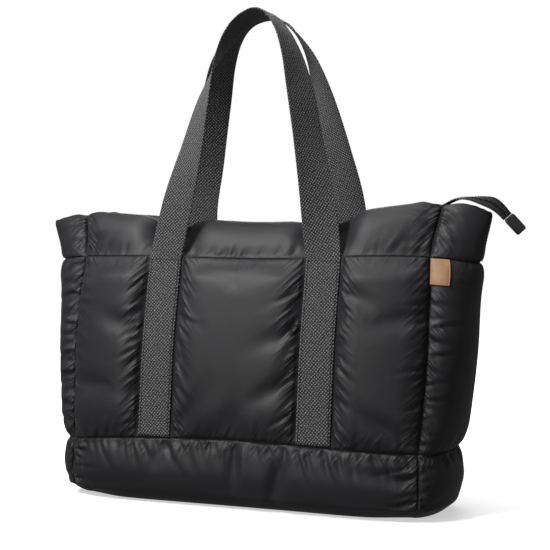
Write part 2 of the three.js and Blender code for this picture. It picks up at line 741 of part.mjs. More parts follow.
// Leather label on the right gusset, beside the front corner seam and just under the rim seam
function makeLabel() {
  const faces = gussetFaces(1);
  const finish = labelStart + (labelSize * labelWrap) / (baseDepth + gussetReach);
  const bottom = labelTopLevel - labelSize / (rimHeight - baseSeamHeight);
  const facesAt = (along, level) => {
    const outward = gussetPlace(1, along, level).outward;
    const seat = faces(along, level).outer.addScaledVector(outward, labelGap);
    return { inner: seat, outer: seat.clone().addScaledVector(outward, labelThickness) };
  };
  const columns = evenSpots(labelStart, finish, 5);
  return gridSolid("side_label", columns, evenSpots(bottom, labelTopLevel, 5), facesAt, leatherMaterial);
}

const group = new THREE.Group();
group.add(...makePanels());
group.add(...makeCollars());
group.add(...makeGussets());
group.add(...makeWings());
group.add(...makeBaseBand());
group.add(makeBottom());
group.add(makeHandle("front_handle", -1, frontRun, frontHandleLean));
group.add(makeHandle("back_handle", 1, backRun, backHandleLean));
group.add(...makeZip());
group.add(makeLabel());

export default group;
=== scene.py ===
# Puffer tote bag: padded nylon walls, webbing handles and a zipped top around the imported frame.
# Metres, +Z up, X along the width, the front faces -Y, and the bag rests on z = 0.

import math
import random

import bmesh
import bpy
import numpy as np
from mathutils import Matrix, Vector
from mathutils.bvhtree import BVHTree


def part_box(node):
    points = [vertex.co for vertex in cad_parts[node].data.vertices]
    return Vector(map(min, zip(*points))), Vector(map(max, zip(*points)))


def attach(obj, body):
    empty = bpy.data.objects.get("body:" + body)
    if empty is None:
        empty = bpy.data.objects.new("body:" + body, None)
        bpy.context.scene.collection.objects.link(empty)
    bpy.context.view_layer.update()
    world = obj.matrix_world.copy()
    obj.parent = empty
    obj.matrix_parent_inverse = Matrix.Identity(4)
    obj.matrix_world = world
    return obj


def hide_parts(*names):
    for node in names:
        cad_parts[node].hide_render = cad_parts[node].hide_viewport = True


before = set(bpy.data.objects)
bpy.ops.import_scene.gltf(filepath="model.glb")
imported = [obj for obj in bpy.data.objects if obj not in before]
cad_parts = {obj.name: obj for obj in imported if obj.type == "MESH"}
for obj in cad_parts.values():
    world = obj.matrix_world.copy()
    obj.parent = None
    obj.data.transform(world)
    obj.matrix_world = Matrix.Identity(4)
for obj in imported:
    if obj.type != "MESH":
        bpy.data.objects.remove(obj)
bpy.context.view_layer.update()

# Body, measured at its seams
BODY_WIDTH = 0.398
BASE_DEPTH = 0.114
RIM_DEPTH = 0.064
BASE_SEAM_HEIGHT = 0.073
RIM_HEIGHT = 0.270
TOP_HEIGHT = 0.320
PANEL_BOW = 0.015
GUSSET_REACH = 0.048
BODY_LEAN = 0.0027
ZIP_OPENING = 0.0166
ZIP_SINK = 0.007
CORNER_TURN = math.radians(30)
WING_CLOSURE = 0.95

# Padding: wall thickness at a seam, and what the filling adds
SEAM_THICKNESS = 0.0024
CELL_PUFF = 0.0130
SIDE_PUFF = 0.008
COLLAR_PUFF = 0.008
WING_PUFF = 0.006
INNER_PUFF = 0.0035
BAND_PUFF = 0.012
RIM_FLAT = 0.022
BAY_DEPTH = 0.011
BAY_WIDTH = 0.024

# Distances from each kind of seam over which the filling swells to its full height
CELL_SWELL_LOW = 0.042
CELL_SWELL_HIGH = 0.028
MIDDLE_CELL_SWELL = 0.030
SIDE_CELL_SWELL = 0.025
CORNER_SWELL = 0.024
GUSSET_SWELL = 0.026
GUSSET_SWELL_HIGH = 0.024
WING_SWELL = 0.020
WING_SWELL_HIGH = 0.022

# Heights above the rim between which a collar's filling grows
COLLAR_EASE = (-0.012, 0.034)

# Base band
BAND_BULGE = 0.007
BOTTOM_INSET = 0.024
CORNER_INSET = 0.009
CORNER_REACH = 0.060

# Webbing handles
STRAP_WIDTH = 0.038
STRAP_THICKNESS = 0.002
STRAP_SPACING = 0.184
STRAP_MARGIN = 0.002
HANDLE_HEIGHT = 0.538
HANDLE_GAP = 0.001
FRONT_HANDLE_LEAN = 0.008
BACK_HANDLE_LEAN = -0.003
SEWN_LEVELS = (0.012, 0.985)
SEWN_STATIONS = 60
FREE_STATIONS = 221
STRIP_SIDES = 20

# Zip, its free tail and its end tab
TAPE_THICKNESS = 0.0008
TAIL_WIDTH = 0.025
COIL_WIDTH = 0.005
COIL_HEIGHT = 0.0016
TAIL_LENGTH = 0.083
TAIL_RISE = 0.0175
TAB_LENGTH = 0.021
TAB_THICKNESS = 0.003
ZIP_SHARE = 0.92
ZIP_STATIONS = 90
TAIL_STATIONS = 46

# Small gap between neighbouring pieces
CLEARANCE = 0.0003

# Walls as flat cloth, and the share by which panels and gussets pass their two level seams
PANEL_HEIGHT = RIM_HEIGHT - BASE_SEAM_HEIGHT
COLLAR_SLOPE = 1.3
COLLAR_HEIGHT = (TOP_HEIGHT - RIM_HEIGHT) * COLLAR_SLOPE
GUSSET_WIDTH = 0.135
WING_WIDTH = 0.120
BAND_HEIGHT = 0.092
SEAM_LAP = CLEARANCE / PANEL_HEIGHT

# Edges of a panel's strap columns, from the middle of the bag
COLUMN_INNER = STRAP_SPACING / 2 - STRAP_WIDTH / 2 - STRAP_MARGIN
COLUMN_OUTER = STRAP_SPACING / 2 + STRAP_WIDTH / 2 + STRAP_MARGIN
COLUMN_SHARE = COLUMN_OUTER / (BODY_WIDTH / 2)

# Leather label, and the places of its edges on the right gusset
LABEL_SIZE = 0.026
LABEL_THICKNESS = 0.0015
LABEL_WRAP = 1.62
LABEL_START = -0.985
LABEL_FINISH = LABEL_START + (LABEL_SIZE * LABEL_WRAP) / (BASE_DEPTH + GUSSET_REACH)
LABEL_HIGH = 0.995
LABEL_LOW = LABEL_HIGH - LABEL_SIZE / PANEL_HEIGHT

# Stitches and zip teeth
STITCH_RADIUS = 0.0005
STITCH_PITCH = 0.0030
STRAP_STITCH_PITCH = 0.0034
STRAP_STITCH_INSET = 0.0025
TAIL_STITCH_INSET = 0.0022
RIM_STITCH_LEVEL = 1.035
RIM_STATIONS = 260
COIL_PITCH = 0.0015

# Cloth of a padded wall: its grid, its run, and how it is held and blown out
GRID_STEP = 0.0023
CLOTH_FRAMES = 18
CLOTH_BENDING = 0.05
CLOTH_HOLD = 1.0
SOFT_HOLD = 0.06
CLOTH_SPARE = 0.10
CLOTH_REACH = 0.006
LARGE_PRESSURE = 1.5
SMALL_PRESSURE = 1.0

# Creases at the seams: noise that is stretched into the cloth and slanted, in clusters
CREASE_STRETCH = (20.0, 105.0, 1.0)
CREASE_CLUSTERS = 38.0
CREASE_SLANT = 1.0
GATHER_SLANT = -0.6
CREASE_REACH = 0.015

# Shares of the creases at the lower and the upper seam of each kind of wall
PANEL_CREASES = (0.8, 0.15)
COLLAR_CREASES = (0.25, 0.2)
GUSSET_CREASES = (0.6, 0.4)
WING_CREASES = (0.4, 0.3)
BAND_CREASES = (0.1, 0.9)

# Rows of small puckers: their spacing along the seam, reach into the cloth, slant in degrees,
# width and depth
PUCKER_ROWS = {
    "panel_strap_inner": (0.0075, 0.024, -42, 0.0019, 0.0036),
    "panel_strap_outer": (0.0078, 0.021, -42, 0.0019, 0.0034),
    "panel_corner": (0.0072, 0.020, -20, 0.0019, 0.0034),
    "panel_base": (0.011, 0.020, 10, 0.0024, 0.0022),
    "panel_rim": (0.024, 0.016, 10, 0.0028, 0.0012),
    "collar_rim": (0.016, 0.026, 25, 0.0028, 0.0018),
    "collar_corner": (0.009, 0.028, 20, 0.0024, 0.0026),
    "collar_strap": (0.011, 0.034, 25, 0.0030, 0.0022),
    "gusset_corner": (0.0070, 0.030, -12, 0.0024, 0.0038),
    "gusset_edge": (0.014, 0.016, 0, 0.003, 0.00228),
    "wing_corner": (0.009, 0.028, -12, 0.0024, 0.0024),
    "wing_edge": (0.014, 0.016, 0, 0.003, 0.00144),
    "long_band_seam": (0.0090, 0.034, 14, 0.0024, 0.0034),
    "long_band_end": (0.0075, 0.032, 0, 0.0024, 0.0036),
    "short_band_seam": (0.0090, 0.022, 14, 0.0024, 0.0034),
    "short_band_end": (0.0075, 0.032, 0, 0.0024, 0.0020),
}

# Directions on a wall, across and up
RIGHT, LEFT, UP, DOWN = (1, 0), (-1, 0), (0, 1), (0, -1)

# Dark and light shade of each material
NYLON_SHADES = ((0.0135, 0.0130, 0.0152), (0.0192, 0.0187, 0.0216))
# The webbing's dark end is painted shade for the gaps of the weave; its light end is the yarns' own
# charcoal tone
WEBBING_YARN_AND_PAINTED_GAP_SHADES = ((0.002, 0.002, 0.0021), (0.20, 0.196, 0.204))
TAPE_SHADES = ((0.006, 0.006, 0.006), (0.014, 0.014, 0.0145))
COIL_SHADES = ((0.012, 0.012, 0.012), (0.022, 0.022, 0.022))
METAL_SHADES = ((0.015, 0.015, 0.015), (0.03, 0.03, 0.03))
THREAD_SHADES = ((0.003, 0.003, 0.003), (0.008, 0.008, 0.008))
LEATHER_SHADES = ((0.34, 0.18, 0.086), (0.45, 0.26, 0.135))

# Camera at the photograph's viewing angle
VIEW_TURN = math.radians(22)
VIEW_PITCH = math.radians(1.3)
VIEW_DISTANCE = 1.3848
VIEW_HEIGHT = 0.2805
VIEW_OFFSET = 0.0187
FOCAL_SHARE = 1247.2 / 550
VIEW_RIGHT = Vector((math.cos(VIEW_TURN), math.sin(VIEW_TURN), 0))
VIEW_AHEAD = Vector((-math.sin(VIEW_TURN), math.cos(VIEW_TURN), 0))

# Studio light: each softbox has its place from the bag as the camera sees it, size and power
AMBIENT_LIGHT = 0.14
BACKDROP_LIGHT = 1.0
FLOOR_LIGHT = 0.52
FLOOR_RADII = (0.25, 0.85)
SOFTBOXES = (
    ("key_softbox", -1.2, -0.95, 1.4, 0.5, 34),
    ("front_softbox", -1.1, -1.5, 0.25, 0.9, 7),
    ("top_softbox", -0.2, 0.1, 2.0, 1.4, 18),
    ("back_softbox", 0.3, 1.8, 1.1, 1.2, 16),
)


def table(columns, rows):
    return np.array(rows, dtype=[(column, float) for column in columns.split()])


# Body levels: 0 is the base seam, 1 the rim seam and 2 the zip edge.
# width is a share of BODY_WIDTH, reach of GUSSET_REACH, bow of PANEL_BOW, lean of BODY_LEAN,
# rise of the collar's height, bay of BAY_DEPTH and sink of ZIP_SINK. inward goes from 0 at the
# base's depth to 1 at the rim's and 2 at the zip's, and tilt turns the wall to face upwards.
BODY_LEVELS = table("level width inward reach bow lean rise tilt bay sink", [
    (0.0, 1.0, 0.0, 0.47, 1.0, 0.0, 0.0, 0, 0, 0),
    (0.16, 1.006, 0.11, 0.56, 1.06, 0.2, 0.0, 0, 0, 0),
    (0.5, 1.02, 0.38, 0.66, 1.15, 0.6, 0.0, 0, 0, 0),
    (0.85, 1.017, 0.8, 0.76, 1.06, 0.9, 0.0, 0, 0, 0),
    (1.0, 1.013, 1.0, 0.89, 1.0, 1.0, 0.0, 0, 0, 0),
    (1.25, 1.022, 1.33, 0.89, 0.95, 0.8, 0.35, 12, 0.7, 0),
    (1.5, 1.042, 1.65, 0.93, 0.82, 0.5, 0.7, 30, 1.0, 0),
    (1.7, 1.056, 1.82, 0.97, 0.64, 0.3, 0.92, 52, 0.75, 0),
    (1.85, 1.058, 1.91, 1.0, 0.4, 0.2, 1.0, 76, 0.4, 0),
    (2.0, 1.058, 2.0, 1.0, 0.0, 0.1, 1.0, 92, 0, 1),
])

# Seam heights across the bag, as shares of the base seam's, the rim's and the collar's height
SEAM_LINE = table("across base rim top", [
    (-1.25, 0.92, 0.984, 0.78),
    (-1.0, 0.89, 0.997, 0.91),
    (-0.78, 0.95, 1.0, 0.83),
    (-0.55, 0.99, 1.0, 0.77),
    (-0.27, 1.02, 0.995, 0.71),
    (0.0, 1.035, 0.991, 0.67),
    (0.3, 1.02, 0.991, 0.69),
    (0.52, 1.0, 0.997, 0.79),
    (0.7, 0.99, 1.002, 0.88),
    (1.0, 0.96, 0.997, 1.03),
    (1.12, 0.955, 0.988, 1.04),
    (1.25, 0.95, 0.975, 0.89),
])

# Base band from the bottom panel to the base seam. out is a share of BAND_BULGE above the
# widest row and of BOTTOM_INSET below it, and tilt turns the wall to face down.
BAND_ROWS = table("along rise out tilt", [
    (0.0, 0.0, -1.0, 90),
    (0.12, 0.03, -0.62, 68),
    (0.26, 0.12, -0.24, 44),
    (0.42, 0.28, 0.3, 18),
    (0.62, 0.53, 0.9, 3),
    (0.82, 0.79, 0.72, -4),
    (1.0, 1.0, 0.0, 0),
])

# Main dents of the panels and folds of the base band: turn is the fold's angle from the
# horizontal, and the lengths are shares of CELL_PUFF
DENT_COLUMNS = "across level turn length width depth"
PANEL_DENTS = table(DENT_COLUMNS, [
    (-0.9, 0.93, 15, 2.2, 0.7, 0.45),
    (-0.86, 0.3, -8, 2.6, 0.8, 0.3),
    (-0.64, 0.62, -20, 2.4, 0.8, 0.3),
    (-0.28, 0.1, 55, 2.4, 0.8, 0.4),
    (0.0, 0.08, 80, 2.0, 0.9, 0.35),
    (0.3, 0.6, 25, 2.8, 0.8, 0.35),
    (0.29, 0.32, 32, 2.8, 0.8, 0.4),
    (0.64, 0.8, -25, 2.6, 0.8, 0.35),
    (0.88, 0.68, 12, 2.4, 0.8, 0.35),
    (0.84, 0.12, -30, 2.6, 0.8, 0.4),
])
BAND_FOLDS = table(DENT_COLUMNS, [
    (-0.93, 0.8, 40, 1.6, 0.6, 0.4),
    (-0.4, 0.85, 60, 1.8, 0.7, 0.3),
    (0.02, 0.7, 85, 2.2, 0.6, 0.4),
    (0.27, 0.55, 72, 2.8, 0.6, 0.45),
    (0.86, 0.65, -8, 2.2, 0.6, 0.4),
])

# Free stretch of each handle: rise is a share of the height above the rim, spread of half of
# STRAP_SPACING and inward of the way to the middle, and the turns twist the two legs
RUN_COLUMNS = "rise spread inward left_turn right_turn"
FRONT_RUN = table(RUN_COLUMNS, [
    (0.0, 1.0, 0.0, 0, 0),
    (0.22, 0.89, 0.18, 4, 32),
    (0.44, 0.75, 0.33, 26, 53),
    (0.66, 0.609, 0.43, 48, 61),
    (0.82, 0.465, 0.58, 74, 76),
    (0.92, 0.31, 0.77, 90, 86),
    (0.98, 0.148, 0.93, 90, 90),
    (1.0, 0.0, 1.0, 90, 90),
])
BACK_RUN = table(RUN_COLUMNS, [
    (0.0, 1.0, 0.0, 0, 0),
    (0.22, 0.985, 0.2, 4, 11),
    (0.44, 0.855, 0.42, 34, 21),
    (0.66, 0.708, 0.66, 49, 36),
    (0.82, 0.576, 0.84, 67, 57),
    (0.92, 0.41, 0.94, 86, 74),
    (0.98, 0.235, 0.98, 90, 88),
    (1.0, 0.0, 1.0, 90, 90),
])

# Free tail of the zip: out is a share of TAIL_LENGTH, lift of TAIL_RISE and drift of
# TAIL_WIDTH, and roll lifts the back edge
ZIP_TAIL = table("out lift drift roll", [
    (0.0, 0.0, 0.0, 0),
    (0.18, 0.5, 0.0, 0),
    (0.36, 0.92, 0.02, 2),
    (0.53, 1.0, 0.04, 8),
    (0.7, 0.88, 0.06, 22),
    (0.82, 0.7, 0.09, 30),
    (0.9, 0.42, 0.13, 30),
    (1.0, -0.1, 0.2, 26),
])


# Smooth reading of one column of a table between its rows
def read_table(rows, column, places):
    keys = rows[rows.dtype.names[0]]
    values = rows[column]
    places = np.clip(np.asarray(places, dtype=float), keys[0], keys[-1])
    low = np.clip(np.searchsorted(keys, places, side="right") - 1, 0, len(keys) - 2)
    slopes = np.diff(values) / np.diff(keys)
    knots = np.concatenate([slopes[:1], (slopes[:-1] + slopes[1:]) / 2, slopes[-1:]])
    step = keys[low + 1] - keys[low]
    t = (places - keys[low]) / step
    rest = 1 - t
    return (
        values[low] * rest * rest * (1 + 2 * t)
        + values[low + 1] * t * t * (3 - 2 * t)
        + knots[low] * step * t * rest * rest
        - knots[low + 1] * step * t * t * rest
    )


# Share of full padding at a distance from a seam
def swell(distance, reach):
    share = np.clip(distance / reach, 0, 1)
    return np.power(1 - (1 - share) ** 2, 0.7)


def smooth_share(value, low, high):
    share = np.clip((value - low) / (high - low), 0, 1)
    return share * share * (3 - 2 * share)


# Sizes of the body at a level
def half_width_at(level):
    return (BODY_WIDTH / 2) * read_table(BODY_LEVELS, "width", level)


def half_depth_at(level):
    inward = read_table(BODY_LEVELS, "inward", level)
    below = BASE_DEPTH + (RIM_DEPTH - BASE_DEPTH) * inward
    above = RIM_DEPTH + (ZIP_OPENING - RIM_DEPTH) * (inward - 1)
    return np.where(inward <= 1, below, above) / 2


def lean_at(level):
    return BODY_LEAN * read_table(BODY_LEVELS, "lean", level)


def height_at(across, level):
    base = BASE_SEAM_HEIGHT * read_table(SEAM_LINE, "base", across)
    rim = RIM_HEIGHT * read_table(SEAM_LINE, "rim", across)
    top = (TOP_HEIGHT - RIM_HEIGHT) * read_table(SEAM_LINE, "top", across)
    sink = ZIP_SINK * read_table(BODY_LEVELS, "sink", level)
    collar = rim + top * read_table(BODY_LEVELS, "rise", level) - sink
    return np.where(level <= 1, base + (rim - base) * level, collar)


def corner_share(along):
    return np.maximum(0, np.abs(along) - COLUMN_SHARE) / (1 - COLUMN_SHARE)


def panel_distance(along, level):
    flat = np.minimum(np.abs(along), COLUMN_SHARE) * (BODY_WIDTH / 2)
    return flat + corner_share(along) * (half_width_at(level) - COLUMN_OUTER)


# Distances from the nearest strap column, negative under its strap, and from the corner seam
def panel_gaps(along, level):
    distance = panel_distance(along, level)
    to_column = np.maximum(COLUMN_INNER - distance, distance - COLUMN_OUTER)
    return to_column, half_width_at(level) - distance


def facing_up(x, y, level):
    tilt = np.radians(read_table(BODY_LEVELS, "tilt", level))
    return np.column_stack([x * np.cos(tilt), y * np.cos(tilt), np.sin(tilt)])


# Seam-line places on the front or back, with the way that the wall faces
def panel_place(facing, along, level):
    corner = corner_share(along)
    x = lean_at(level) + panel_distance(along, level) * np.sign(along)
    bow = PANEL_BOW * read_table(BODY_LEVELS, "bow", level)
    y = facing * (half_depth_at(level) + bow * (1 - corner ** 2.2))
    turn = CORNER_TURN * corner ** 1.5 * np.sign(along)
    points = np.column_stack([x, y, height_at(along, level)])
    return points, facing_up(np.sin(turn), facing * np.cos(turn), level)


# The same for a gusset, with along going from its front seam to its back seam
def gusset_place(facing, along, level):
    angle = np.radians(90 * along)
    reach = GUSSET_REACH * read_table(BODY_LEVELS, "reach", level)
    spread = half_width_at(level) + reach * np.cos(angle)
    across = facing * spread / half_width_at(level)
    turn = (math.radians(90) - CORNER_TURN) * along
    x = lean_at(level) + facing * spread
    # Past the zip's closed end the two halves of the left wing meet
    closed = smooth_share(np.cos(angle), 0.0, 0.4) * smooth_share(level, 1.6, 2.0) * (facing < 0)
    y = half_depth_at(level) * np.sin(angle) * (1 - WING_CLOSURE * closed)
    points = np.column_stack([x, y, height_at(across, level)])
    return points, facing_up(facing * np.cos(turn), np.sin(turn), level)


def dent_depth(dents, along, level, width, height):
    depth = np.zeros_like(along)
    for dent in dents:
        turn = math.radians(dent["turn"])
        across = (along - dent["across"]) * width
        up = (level - dent["level"]) * height
        spread = (across * math.cos(turn) + up * math.sin(turn)) / (dent["length"] * CELL_PUFF)
        cut = (up * math.cos(turn) - across * math.sin(turn)) / (dent["width"] * CELL_PUFF)
        depth += dent["depth"] * CELL_PUFF * np.exp(-spread ** 2 - cut ** 2)
    return depth


# Filling in front of a panel or collar: three cells between corner seams and strap columns
def cell_filling(along, level, puff, height, span):
    up_share = swell(span * height, CELL_SWELL_LOW) * swell((1 - span) * height, CELL_SWELL_HIGH)
    to_column, to_corner = panel_gaps(along, level)
    middle = swell(to_column, MIDDLE_CELL_SWELL)
    side = swell(to_column, SIDE_CELL_SWELL) * swell(to_corner, CORNER_SWELL)
    across = np.where(panel_distance(along, level) < COLUMN_INNER, middle, side)
    return np.where(to_column <= 0, 0, puff * across * up_share)


def panel_filling(along, level):
    filling = cell_filling(along, level, CELL_PUFF, PANEL_HEIGHT, level)
    filling = filling * rim_ease((1 - level) * PANEL_HEIGHT)
    dents = dent_depth(PANEL_DENTS, along, level, half_width_at(level), PANEL_HEIGHT)
    return filling * np.maximum(0.3, 1 - dents / CELL_PUFF)


def collar_filling(along, level):
    ease = smooth_share((level - 1) * COLLAR_HEIGHT, *COLLAR_EASE)
    return cell_filling(along, level, COLLAR_PUFF, COLLAR_HEIGHT, level - 1) * ease


def gusset_filling(along, level):
    to_corner = (1 - np.abs(along)) * (BASE_DEPTH / 2)
    below = swell(level * PANEL_HEIGHT, GUSSET_SWELL)
    above = swell((1 - level) * PANEL_HEIGHT, GUSSET_SWELL_HIGH)
    return SIDE_PUFF * swell(to_corner, GUSSET_SWELL) * (below * above)


def wing_filling(along, level):
    to_corner = (1 - np.abs(along)) * GUSSET_REACH
    below = swell((level - 1) * COLLAR_HEIGHT, WING_SWELL)
    above = swell((2 - level) * COLLAR_HEIGHT, WING_SWELL_HIGH)
    return WING_PUFF * swell(to_corner, WING_SWELL) * (below * above)


def collar_bay(along, level):
    share = read_table(BODY_LEVELS, "bay", level)
    offset = (panel_distance(along, level) - STRAP_SPACING / 2) / BAY_WIDTH
    return BAY_DEPTH * share * np.exp(-offset ** 2)


# The rim seam is topstitched flat, so the filling of a panel starts slowly below it
def rim_ease(distance):
    return 0.35 + 0.65 * smooth_share(distance, 0, RIM_FLAT)


def no_bay(along, level):
    return np.zeros_like(along)


# Outer and inner faces of a padded wall
def wall_faces(place, filling, bay):
    points, outward = place
    outer = points + outward * (SEAM_THICKNESS / 2 + filling - bay)[:, None]
    depth = INNER_PUFF * np.minimum(1, filling / SIDE_PUFF)
    inner = points - outward * (SEAM_THICKNESS / 2 + depth + bay)[:, None]
    return outer, inner, outward


# The same for a side of the base band. along is the place for its folds.
def band_faces(place, along, row, to_corner):
    points, outward = place
    out = read_table(BAND_ROWS, "out", row)
    rise = read_table(BAND_ROWS, "rise", row)
    tilt = np.radians(read_table(BAND_ROWS, "tilt", row))
    corner_swell = swell(to_corner, CORNER_SWELL)
    bulge = BAND_BULGE * (0.55 + 0.45 * corner_swell)
    half_width = half_width_at(np.zeros_like(along))
    fold = dent_depth(BAND_FOLDS, along, rise, half_width, BASE_SEAM_HEIGHT)
    edge = swell(row, 0.45) * swell(1 - row, 0.4)
    inset = BOTTOM_INSET + CORNER_INSET * (1 - smooth_share(to_corner, 0, CORNER_REACH))
    offset = np.where(out > 0, out * bulge, out * inset) - fold * edge
    outer = points + outward * (SEAM_THICKNESS / 2 + offset)[:, None]
    outer[:, 2] = (points[:, 2] - CLEARANCE) * rise
    thickness = SEAM_THICKNESS + BAND_PUFF * edge * corner_swell
    direction = outward * np.cos(tilt)[:, None]
    direction[:, 2] = -np.sin(tilt)
    return outer, outer - direction * thickness[:, None], direction


# Camera and studio
def make_camera():
    data = bpy.data.cameras.new("camera")
    data.sensor_width = 36
    data.lens = data.sensor_width * FOCAL_SHARE
    camera = bpy.data.objects.new("camera", data)
    height = Vector((0, 0, VIEW_HEIGHT))
    camera.location = VIEW_RIGHT * VIEW_OFFSET - VIEW_AHEAD * VIEW_DISTANCE + height
    camera.rotation_euler = (math.pi / 2 - VIEW_PITCH, 0, VIEW_TURN)
    bpy.context.scene.collection.objects.link(camera)
    bpy.context.scene.camera = camera


def add_softbox(name, across, ahead, up, size, power):
    data = bpy.data.lights.new(name, "AREA")
    data.shape = "SQUARE"
    data.size = size
    data.energy = power
    lamp = bpy.data.objects.new(name, data)
    aim = Vector((0, 0, TOP_HEIGHT * 0.75))
    lamp.location = aim + VIEW_RIGHT * across + VIEW_AHEAD * ahead + Vector((0, 0, up))
    lamp.rotation_euler = (aim - lamp.location).to_track_quat("-Z", "Y").to_euler()
    bpy.context.scene.collection.objects.link(lamp)


# Softboxes, a pale floor and a backdrop that is white to the camera and dim to the bag
def make_studio():
    for softbox in SOFTBOXES:
        add_softbox(*softbox)
    world = bpy.data.worlds.new("studio")
    world.use_nodes = True
    backdrop = world.node_tree.nodes["Background"]
    backdrop.inputs["Color"].default_value = (1, 1, 1, 1)
    seen = add_node(world, "ShaderNodeLightPath").outputs["Is Camera Ray"]
    strength = add_range(world, seen, (0, 1), (AMBIENT_LIGHT, BACKDROP_LIGHT))
    join(world, strength, backdrop.inputs["Strength"])
    bpy.context.scene.world = world
    bpy.context.scene.view_settings.view_transform = "Standard"
    bm = bmesh.new()
    bmesh.ops.create_grid(bm, x_segments=2, y_segments=2, size=6)
    floor = new_object("studio_floor", bm, make_floor_white())
    floor.visible_diffuse = False
    floor.visible_glossy = False


# Materials
def plain_material(name, colour, roughness):
    material = bpy.data.materials.new(name)
    material.use_nodes = True
    shader = material.node_tree.nodes["Principled BSDF"]
    shader.inputs["Base Color"].default_value = (*colour, 1)
    shader.inputs["Roughness"].default_value = roughness
    return material, shader


def add_node(material, kind, **values):
    node = material.node_tree.nodes.new(kind)
    for key, value in values.items():
        if key in node.inputs:
            node.inputs[key].default_value = value
        else:
            setattr(node, key, value)
    return node


def join(material, start, end):
    material.node_tree.links.new(start, end)


# Maps a value from one pair of limits to another
def add_range(material, value, before, after, **settings):
    limits = {"From Min": before[0], "From Max": before[1], "To Min": after[0], "To Max": after[1]}
    node = add_node(material, "ShaderNodeMapRange", **limits, **settings)
    join(material, value, node.inputs["Value"])
    return node.outputs["Result"]


# Colours a value from the dark to the light shade, between two places
def add_ramp(material, value, shades, places):
    ramp = add_node(material, "ShaderNodeValToRGB")
    for element, shade, place in zip(ramp.color_ramp.elements, shades, places):
        element.position = place
        element.color = (*shade, 1)
    join(material, value, ramp.inputs["Fac"])
    return ramp.outputs["Color"]


# Pale floor that fades to the backdrop's white away from the bag
def make_floor_white():
    material, shader = plain_material("floor_white", (0.9, 0.9, 0.9), 0.9)
    shader.inputs["Emission Color"].default_value = (1, 1, 1, 1)
    place = add_node(material, "ShaderNodeTexCoord").outputs["Object"]
    reach = add_node(material, "ShaderNodeVectorMath", operation="LENGTH")
    join(material, place, reach.inputs[0])
    glow = add_range(material, reach.outputs["Value"], FLOOR_RADII, (FLOOR_LIGHT, BACKDROP_LIGHT),
                     interpolation_type="SMOOTHSTEP")
    join(material, glow, shader.inputs["Emission Strength"])
    return material


# A noise that mixes two shades
def mottle(material, shader, source, scale, shades):
    noise = add_node(material, "ShaderNodeTexNoise", Scale=scale, Detail=4.0)
    join(material, source, noise.inputs["Vector"])
    colour = add_ramp(material, noise.outputs["Fac"], shades, (0.35, 0.65))
    join(material, colour, shader.inputs["Base Color"])


def add_bump(material, height, strength, depth, under=None):
    bump = add_node(material, "ShaderNodeBump", Strength=strength, Distance=depth)
    join(material, height, bump.inputs["Height"])
    if under:
        join(material, under.outputs["Normal"], bump.inputs["Normal"])
    return bump


# Sharp creases that run out of a wall's seams, from the wall's own map and its gather share
def crease_height(material, kind):
    place = add_node(material, "ShaderNodeUVMap", uv_map=kind + "_map").outputs["UV"]
    stretch = add_node(material, "ShaderNodeMapping", Scale=CREASE_STRETCH)
    ridges = add_node(material, "ShaderNodeTexNoise", noise_type="RIDGED_MULTIFRACTAL",
                      Scale=1.0, Detail=2.5, Roughness=0.45, Offset=1.0, Gain=1.6, Distortion=0.3)
    gather = add_node(material, "ShaderNodeAttribute", attribute_name=kind + "_gather")
    height = add_node(material, "ShaderNodeMath", operation="MULTIPLY")
    join(material, place, stretch.inputs["Vector"])
    join(material, stretch.outputs["Vector"], ridges.inputs["Vector"])
    join(material, ridges.outputs["Fac"], height.inputs[0])
    join(material, gather.outputs["Fac"], height.inputs[1])
    clusters = add_node(material, "ShaderNodeTexNoise", Scale=CREASE_CLUSTERS, Detail=1.0)
    join(material, place, clusters.inputs["Vector"])
    share = add_range(material, clusters.outputs["Fac"], (0.38, 0.62), (0.15, 1.5))
    clustered = add_node(material, "ShaderNodeMath", operation="MULTIPLY")
    join(material, height.outputs[0], clustered.inputs[0])
    join(material, share, clustered.inputs[1])
    return clustered.outputs[0]


# Thin smooth nylon: soft crumples, creases at the seams, a fine weave and a satin sheen
def make_nylon():
    material, shader = plain_material("black_nylon", NYLON_SHADES[1], 0.52)
    shader.inputs["Sheen Weight"].default_value = 0.06
    shader.inputs["Sheen Roughness"].default_value = 0.35
    shader.inputs["Specular IOR Level"].default_value = 0.42
    place = add_node(material, "ShaderNodeTexCoord").outputs["Object"]
    mottle(material, shader, place, 9.0, NYLON_SHADES)
    crumple = add_node(material, "ShaderNodeTexNoise", Scale=32.0, Detail=4.0, Distortion=0.6)
    weave = add_node(material, "ShaderNodeTexNoise", Scale=1900.0, Detail=1.0)
    join(material, place, crumple.inputs["Vector"])
    join(material, place, weave.inputs["Vector"])
    soft = add_bump(material, crumple.outputs["Fac"], 0.12, 0.004)
    sides = add_bump(material, crease_height(material, "side"), 1.0, 0.0016, soft)
    ends = add_bump(material, crease_height(material, "end"), 1.0, 0.0011, sides)
    fine = add_bump(material, weave.outputs["Fac"], 0.25, 0.0003, ends)
    join(material, fine.outputs["Normal"], shader.inputs["Normal"])
    return material


